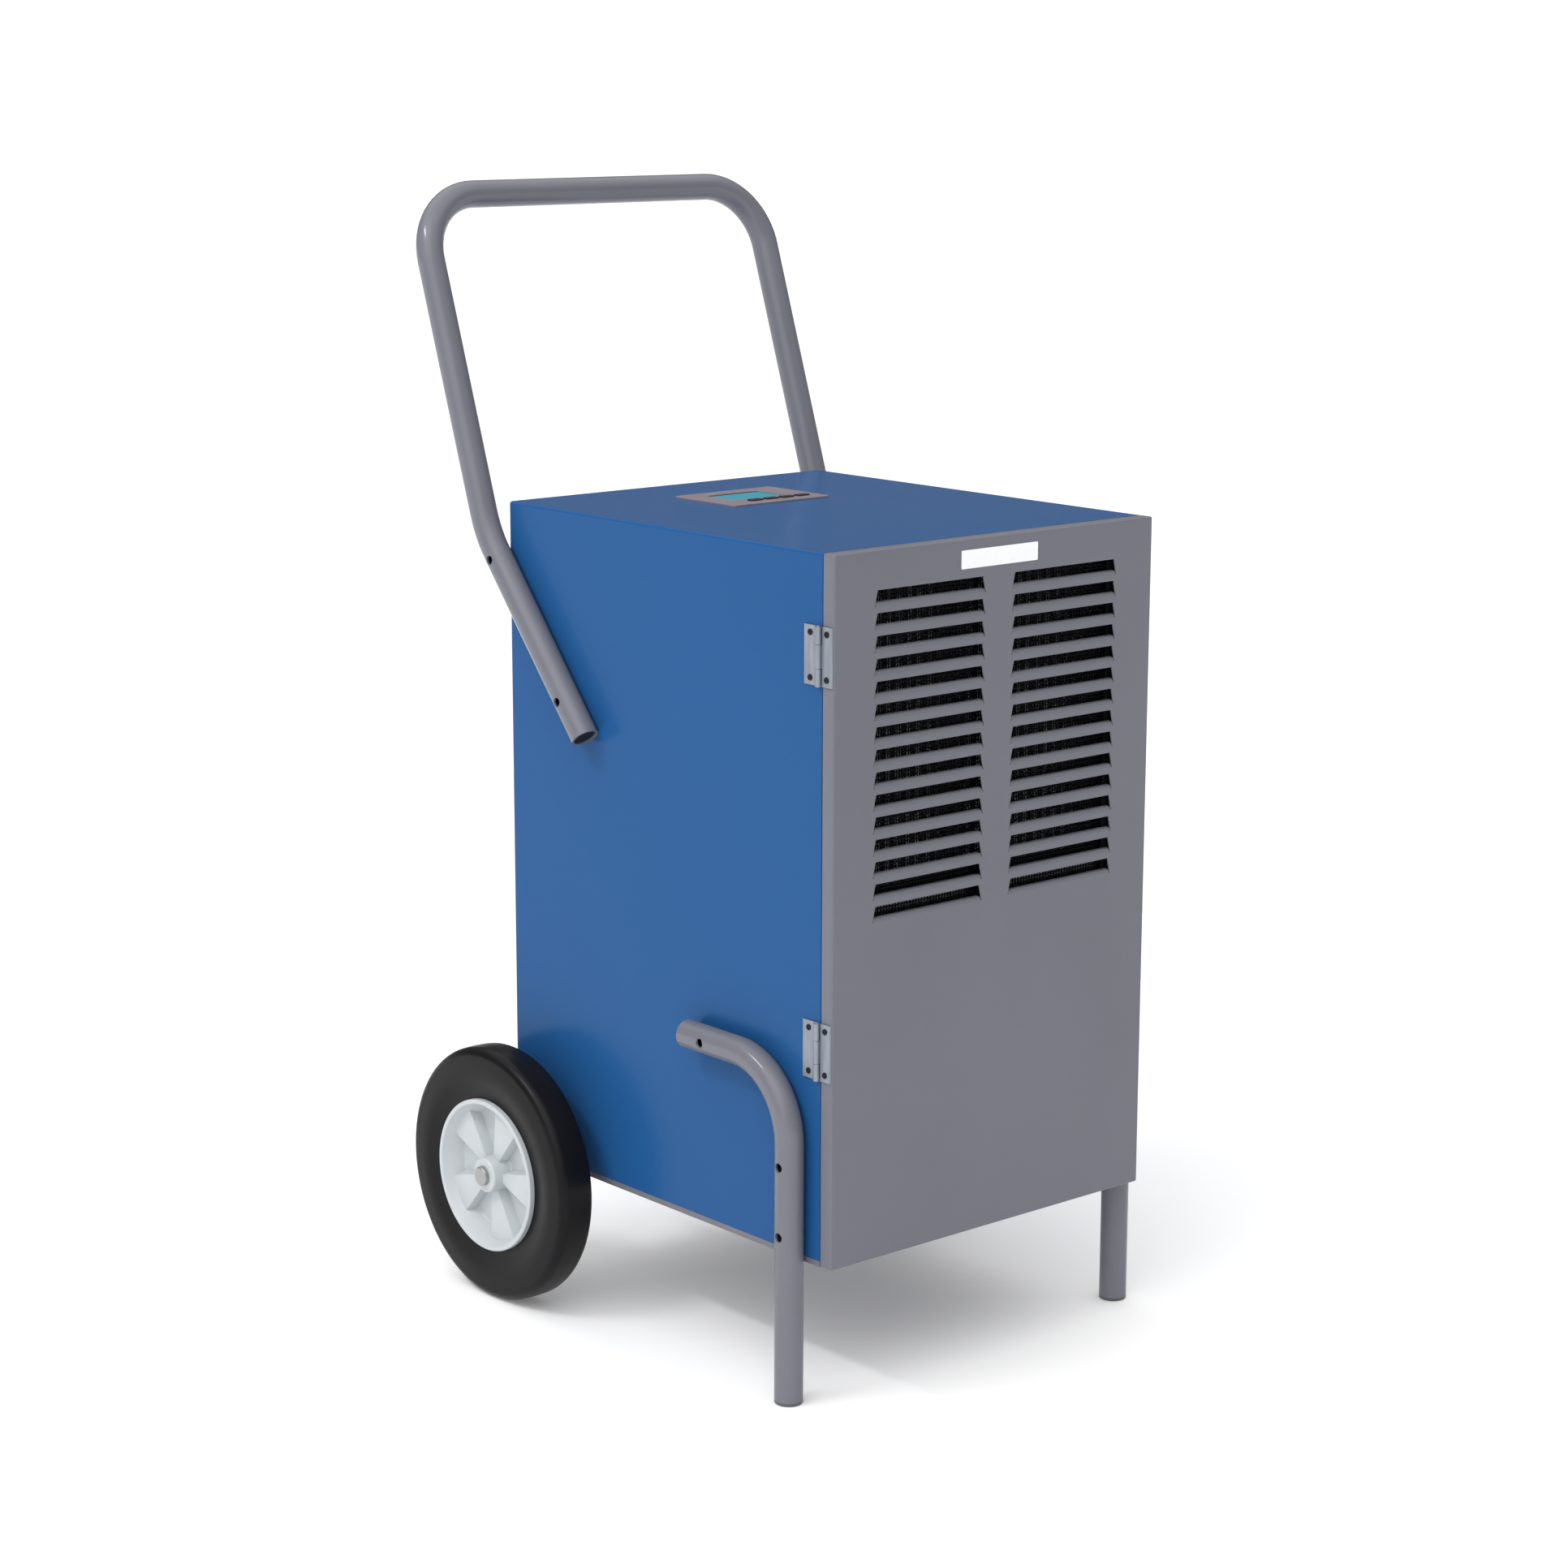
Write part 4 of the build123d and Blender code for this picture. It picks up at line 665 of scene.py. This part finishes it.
def filterNet():
    low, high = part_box("filter_mesh")
    wire = netShape["wire"] / 2
    middle = (low.y + high.y) / 2
    mesh = bmesh.new()
    for axis in (0, 2):
        count = round((high[axis] - low[axis]) / netShape["pitch"])
        pitch = (high[axis] - low[axis] - 2 * wire) / count
        for index in range(count + 1):
            place = low[axis] + wire + index * pitch
            start = Vector((low.x, middle, low.z))
            end = Vector((high.x, middle, high.z))
            start[axis] = place - wire
            end[axis] = place + wire
            shift = netShape["overlap"] / 2 if axis == 0 else -netShape["overlap"] / 2
            start.y = middle - wire + shift
            end.y = middle + wire + shift
            addBlock(mesh, start, end)
    newPiece("filterNet", mesh, "door", "filter_net", ["filter_mesh"])


filterNet()
print("filter net")


# coils: thin fins between two end plates, tubes with return bends

coilShape = {"fins": 118, "finThickness": 0.00035, "plate": 0.0016, "tubes": 6, "tube": 0.0045,
             "tubeSides": 16, "finFoot": 0.0078, "finSunk": 0.001, "headroom": 0.003, "margin": 0.004,
             "plateEdge": 0.0003, "bendSunk": 0.001, "bendTight": 0.98, "bendSteps": 6}


def coil(name, node):
    low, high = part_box(node)
    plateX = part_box("drip_tray")[1].x
    half = plateX - coilShape["margin"]
    finLow = low.z + coilShape["finFoot"] - coilShape["finSunk"]
    finHigh = high.z - coilShape["headroom"]
    mesh = bmesh.new()
    pitch = 2 * half / coilShape["fins"]
    for index in range(coilShape["fins"]):
        x = (index + 0.5) * pitch - half
        addBlock(mesh, (x - coilShape["finThickness"] / 2, low.y, finLow),
                 (x + coilShape["finThickness"] / 2, high.y, finHigh))
    newPiece(name + "Fins", mesh, "root", "coil_fins", [node])
    mesh = bmesh.new()
    for side in (-1, 1):
        inner = side * (plateX - coilShape["plate"])
        outer = side * plateX
        addBlock(mesh, (min(inner, outer), low.y, low.z), (max(inner, outer), high.y, high.z))
    plates = newPiece(name + "Plates", mesh, "root", "galvanised", [])
    softenEdges(plates, coilShape["plateEdge"])
    mesh = bmesh.new()
    rise = (finHigh - finLow) / coilShape["tubes"]
    heights = [finLow + (index + 0.5) * rise for index in range(coilShape["tubes"])]
    middle = (low.y + high.y) / 2
    reach = high.x - coilShape["tube"]
    for z in heights:
        addTube(mesh, [(-plateX, middle, z), (plateX, middle, z)], coilShape["tube"], coilShape["tubeSides"])
    for index in range(coilShape["tubes"] - 1):
        side = 1 if index % 2 == 0 else -1
        start = plateX - coilShape["bendSunk"]
        path = returnBend(side, start, reach, middle, heights[index], heights[index + 1])
        addTube(mesh, path, coilShape["tube"], coilShape["tubeSides"])
    bmesh.ops.recalc_face_normals(mesh, faces=mesh.faces)
    newPiece(name + "Tubes", mesh, "root", "copper", [])


# out of the end plate, up beside it and back in, with round corners
def returnBend(side, start, reach, y, low, high):
    steps = coilShape["bendSteps"]
    radius = min(reach - start, (high - low) / 2) * coilShape["bendTight"]
    path = [(side * start, y, low)]
    for centreZ, first in ((low + radius, -90), (high - radius, 0)):
        for step in range(steps + 1):
            turn = math.radians(first + 90 * step / steps)
            path.append((side * (reach - radius + radius * math.cos(turn)), y,
                         centreZ + radius * math.sin(turn)))
    path.append((side * start, y, high))
    return path


coil("evaporator", "evaporator")
coil("condenser", "condenser")
print("coils: 2")


# water tank: tapering milky walls with ribs, a rolled rim and a hand opening in front

tankShape = {"wall": 0.0025, "corner": 0.014, "footRound": 0.008, "draft": 0.002, "rim": 0.003,
             "rimHeight": 0.004, "ribs": (0.3, 0.42, 0.54), "ribHalf": 0.006, "ribDepth": 0.0018,
             "gripHalf": 0.055, "gripLow": 0.04, "gripHigh": 0.014, "gripRound": 0.008, "gripSteps": 5,
             "cornerSteps": 6, "leastCorner": 0.001, "ribSlope": 1.4, "softEdge": 0.0005, "crease": 30,
             "near": 1e-6}
rodShape = {"radius": 0.003, "foot": 0.002, "headroom": 0.006, "round": 0.0015}


def waterTank():
    low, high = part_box("water_tank")
    rim = tankShape["rim"]
    height = high.z - low.z
    middle = (low + high) / 2
    halfX = (high.x - low.x) / 2 - rim
    halfY = (high.y - low.y) / 2 - rim
    grip = (high.z - tankShape["gripLow"], high.z - tankShape["gripHigh"])

    def ringAt(z, inset):
        corner = max(tankShape["corner"] - inset, tankShape["leastCorner"])
        points = []
        hx = halfX - inset
        hy = halfY - inset
        spots = ((-1, -1, 180), (1, -1, 270), (1, 1, 0), (-1, 1, 90))
        for sx, sy, heading in spots:
            for step in range(tankShape["cornerSteps"] + 1):
                turn = math.radians(heading + 90 * step / tankShape["cornerSteps"])
                points.append((middle.x + sx * (hx - corner) + corner * math.cos(turn),
                               middle.y + sy * (hy - corner) + corner * math.sin(turn)))
            if (sx, sy) == (-1, -1):  # the hand opening's two sides along the front wall
                points += [(middle.x - tankShape["gripHalf"], middle.y - hy),
                           (middle.x + tankShape["gripHalf"], middle.y - hy)]
        return [mesh.verts.new((x, y, z)) for x, y in points]

    mesh = bmesh.new()
    stations = []
    for step in range(tankShape["cornerSteps"] + 1):
        turn = math.pi / 2 * step / tankShape["cornerSteps"]
        stations.append((low.z + tankShape["footRound"] * (1 - math.cos(turn)),
                         tankShape["draft"] + tankShape["footRound"] * (1 - math.sin(turn))))
    slope = tankShape["ribSlope"]
    for share in tankShape["ribs"]:
        for offset, depth in ((-slope, 0), (-1, 1), (1, 1), (slope, 0)):
            z = low.z + share * height + offset * tankShape["ribHalf"]
            taper = tankShape["draft"] * (high.z - z) / height
            stations.append((z, taper + depth * tankShape["ribDepth"]))
    for z in (*grip, high.z - tankShape["rimHeight"]):
        stations.append((z, tankShape["draft"] * (high.z - z) / height))
    stations += [(high.z - tankShape["rimHeight"], -rim), (high.z, -rim)]
    rings = [ringAt(z, inset) for z, inset in stations]
    hand = tankShape["cornerSteps"] + 1
    near = tankShape["near"]
    for index, (here, there) in enumerate(zip(rings, rings[1:])):
        isGrip = abs(stations[index][0] - grip[0]) < near
        for spotIndex in range(len(here)):
            after = (spotIndex + 1) % len(here)
            if isGrip and spotIndex == hand:
                continue
            mesh.faces.new((here[spotIndex], here[after], there[after], there[spotIndex]))
    mesh.faces.new(reversed(rings[0]))
    opening = [vert for ring in rings for vert in ring
               if abs(abs(vert.co.x) - tankShape["gripHalf"]) < near
               and min(abs(vert.co.z - z) for z in grip) < near]
    bmesh.ops.bevel(mesh, geom=opening, offset=tankShape["gripRound"], segments=tankShape["gripSteps"],
                    profile=0.5, affect="VERTICES")
    bmesh.ops.recalc_face_normals(mesh, faces=mesh.faces)
    floor = min(mesh.faces, key=lambda face: face.calc_center_median().z)
    if floor.normal.z > 0:
        bmesh.ops.reverse_faces(mesh, faces=mesh.faces)
    piece = newPiece("waterTank", mesh, "root", "tank_plastic", ["water_tank"], tankShape["crease"])
    thicken(piece, tankShape["wall"])
    softenEdges(piece, tankShape["softEdge"])


# the guide that the float rides on, standing in the tank
def floatRod():
    low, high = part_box("water_tank")
    floatLow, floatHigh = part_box("tank_float")
    x = (floatLow.x + floatHigh.x) / 2
    y = (floatLow.y + floatHigh.y) / 2
    radius = rodShape["radius"]
    foot = low.z + rodShape["foot"]
    head = high.z - rodShape["headroom"]
    outline = roundOutline([(foot, 0.0, 0), (foot, radius, 0), (head, radius, rodShape["round"]),
                            (head, 0.0, 0)])
    rod = bmesh.new()
    addRod(rod, outline, x, y)
    newPiece("floatRod", rod, "root", "tank_plastic", [])


# turns a closed outline of (height, radius) about a vertical line
def addRod(mesh, outline, x, y, steps=24):
    turnOutline(mesh, outline, 0, 0, steps)
    bmesh.ops.rotate(mesh, cent=(0, 0, 0), matrix=Matrix.Rotation(-math.pi / 2, 3, "Y"), verts=mesh.verts)
    bmesh.ops.translate(mesh, vec=(x, y, 0), verts=mesh.verts)
    bmesh.ops.remove_doubles(mesh, verts=mesh.verts, dist=1e-6)
    bmesh.ops.recalc_face_normals(mesh, faces=mesh.faces)


waterTank()
floatRod()
print("water tank")


# studio: a wide pale floor, an even sky that brightens overhead, a soft key and a small lamp

studio = {"flatRadius": 40.0, "wallRadius": 48.0, "wallHeight": 1.7, "glow": 0.12,
          "floorColour": screen(248, 248, 248), "horizon": 0.16, "overhead": 1.35,
          "skyStart": 0.42, "skyEnd": 0.8, "keyDirection": (-0.78, -0.42, 0.64), "keyInner": 0.95,
          "keyOuter": 0.8, "keyLight": 1.7, "bendSteps": 12, "rimSteps": 96, "rough": 0.9,
          "cloud": 0.5, "mottle": 1.01}
lampSetup = {"place": (-2.6, 0.5, 3.4), "aim": (0.0, 0.0, 0.6), "length": 1.3, "width": 0.07,
             "power": 36.0}
cameraSetup = {"place": (-1.94997, -2.27506, 1.08819), "turn": 40.688, "down": 11.964, "roll": 0.137,
               "lens": 80.26, "sensor": 36.0, "reach": 500}


def makeFloor():
    outline = [(0.0, 0.0), (studio["flatRadius"] / 2, 0.0)]
    bend = studio["wallRadius"] - studio["flatRadius"]
    for step in range(studio["bendSteps"] + 1):  # the paper sweeps up far behind the machine
        turn = math.pi / 2 * step / studio["bendSteps"]
        outline.append((studio["flatRadius"] + bend * math.sin(turn),
                        studio["wallHeight"] * (1 - math.cos(turn))))
    mesh = bmesh.new()
    rim = studio["rimSteps"]
    turns = [2 * math.pi * side / rim for side in range(rim)]
    rings = [[mesh.verts.new((reach * math.cos(turn), reach * math.sin(turn), height)) for turn in turns]
             for reach, height in outline[1:]]
    middle = mesh.verts.new((0, 0, 0))
    for side in range(rim):
        after = (side + 1) % rim
        mesh.faces.new((middle, rings[0][side], rings[0][after]))
        for inner, outer in zip(rings, rings[1:]):
            mesh.faces.new((inner[side], outer[side], outer[after], inner[after]))
    shape = bpy.data.meshes.new("studioFloor")
    mesh.to_mesh(shape)
    mesh.free()
    shape.shade_smooth()
    floor = bpy.data.objects.new("studioFloor", shape)
    bpy.context.scene.collection.objects.link(floor)
    material, tree, shader = newFinish("floorPaper", Roughness=studio["rough"],
                                       Emission_Strength=studio["glow"])
    shader.inputs["Specular IOR Level"].default_value = 0.0
    shader.inputs["Emission Color"].default_value = (1, 1, 1, 1)
    clouds = noise(tree, studio["cloud"])
    paper = studio["floorColour"]
    tree.links.new(ramp(tree, clouds, paper, shade(paper, studio["mottle"])), shader.inputs["Base Color"])
    shape.materials.append(material)


def makeSky():
    world = bpy.data.worlds.new("studioSky")
    bpy.context.scene.world = world
    world.use_nodes = True
    tree = world.node_tree
    background = tree.nodes["Background"]
    direction = tree.nodes.new("ShaderNodeTexCoord").outputs["Generated"]
    height = tree.nodes.new("ShaderNodeSeparateXYZ")
    tree.links.new(direction, height.inputs["Vector"])
    sky = tree.nodes.new("ShaderNodeMapRange")
    sky.interpolation_type = "SMOOTHSTEP"
    for socket, value in (("From Min", studio["skyStart"]), ("From Max", studio["skyEnd"]),
                          ("To Min", studio["horizon"]), ("To Max", studio["overhead"])):
        sky.inputs[socket].default_value = value
    tree.links.new(height.outputs["Z"], sky.inputs["Value"])
    towards = tree.nodes.new("ShaderNodeVectorMath")
    towards.operation = "DOT_PRODUCT"
    towards.inputs[1].default_value = Vector(studio["keyDirection"]).normalized()
    tree.links.new(direction, towards.inputs[0])
    key = tree.nodes.new("ShaderNodeMapRange")
    key.interpolation_type = "SMOOTHSTEP"
    for socket, value in (("From Min", studio["keyOuter"]), ("From Max", studio["keyInner"]),
                          ("To Min", 0.0), ("To Max", studio["keyLight"])):
        key.inputs[socket].default_value = value
    tree.links.new(towards.outputs["Value"], key.inputs["Value"])
    total = tree.nodes.new("ShaderNodeMath")
    total.operation = "ADD"
    tree.links.new(sky.outputs["Result"], total.inputs[0])
    tree.links.new(key.outputs["Result"], total.inputs[1])
    tree.links.new(total.outputs["Value"], background.inputs["Strength"])
    background.inputs["Color"].default_value = (1, 1, 1, 1)


def makeLamp():
    light = bpy.data.lights.new("smallLamp", "AREA")
    light.shape = "RECTANGLE"
    light.size = lampSetup["length"]
    light.size_y = lampSetup["width"]
    light.energy = lampSetup["power"]
    lamp = bpy.data.objects.new("smallLamp", light)
    bpy.context.scene.collection.objects.link(lamp)
    lamp.location = lampSetup["place"]
    aim = Vector(lampSetup["aim"]) - lamp.location
    lamp.rotation_euler = aim.to_track_quat("-Z", "Y").to_euler()


def makeCamera():
    turn, down, roll = (math.radians(cameraSetup[word]) for word in ("turn", "down", "roll"))
    ahead = Vector((math.sin(turn) * math.cos(down), math.cos(turn) * math.cos(down), -math.sin(down)))
    level = Vector((math.cos(turn), -math.sin(turn), 0))
    up = level.cross(ahead)
    right = level * math.cos(roll) + up * math.sin(roll)
    top = up * math.cos(roll) - level * math.sin(roll)
    lens = bpy.data.cameras.new("camera")
    lens.lens = cameraSetup["lens"]
    lens.sensor_width = cameraSetup["sensor"]
    lens.clip_end = cameraSetup["reach"]
    camera = bpy.data.objects.new("camera", lens)
    bpy.context.scene.collection.objects.link(camera)
    turned = Matrix((right, top, -ahead)).transposed().to_4x4()
    camera.matrix_world = Matrix.Translation(cameraSetup["place"]) @ turned
    bpy.context.scene.camera = camera


makeFloor()
makeSky()
makeLamp()
makeCamera()
bpy.context.scene.view_settings.view_transform = "Standard"
print("studio")
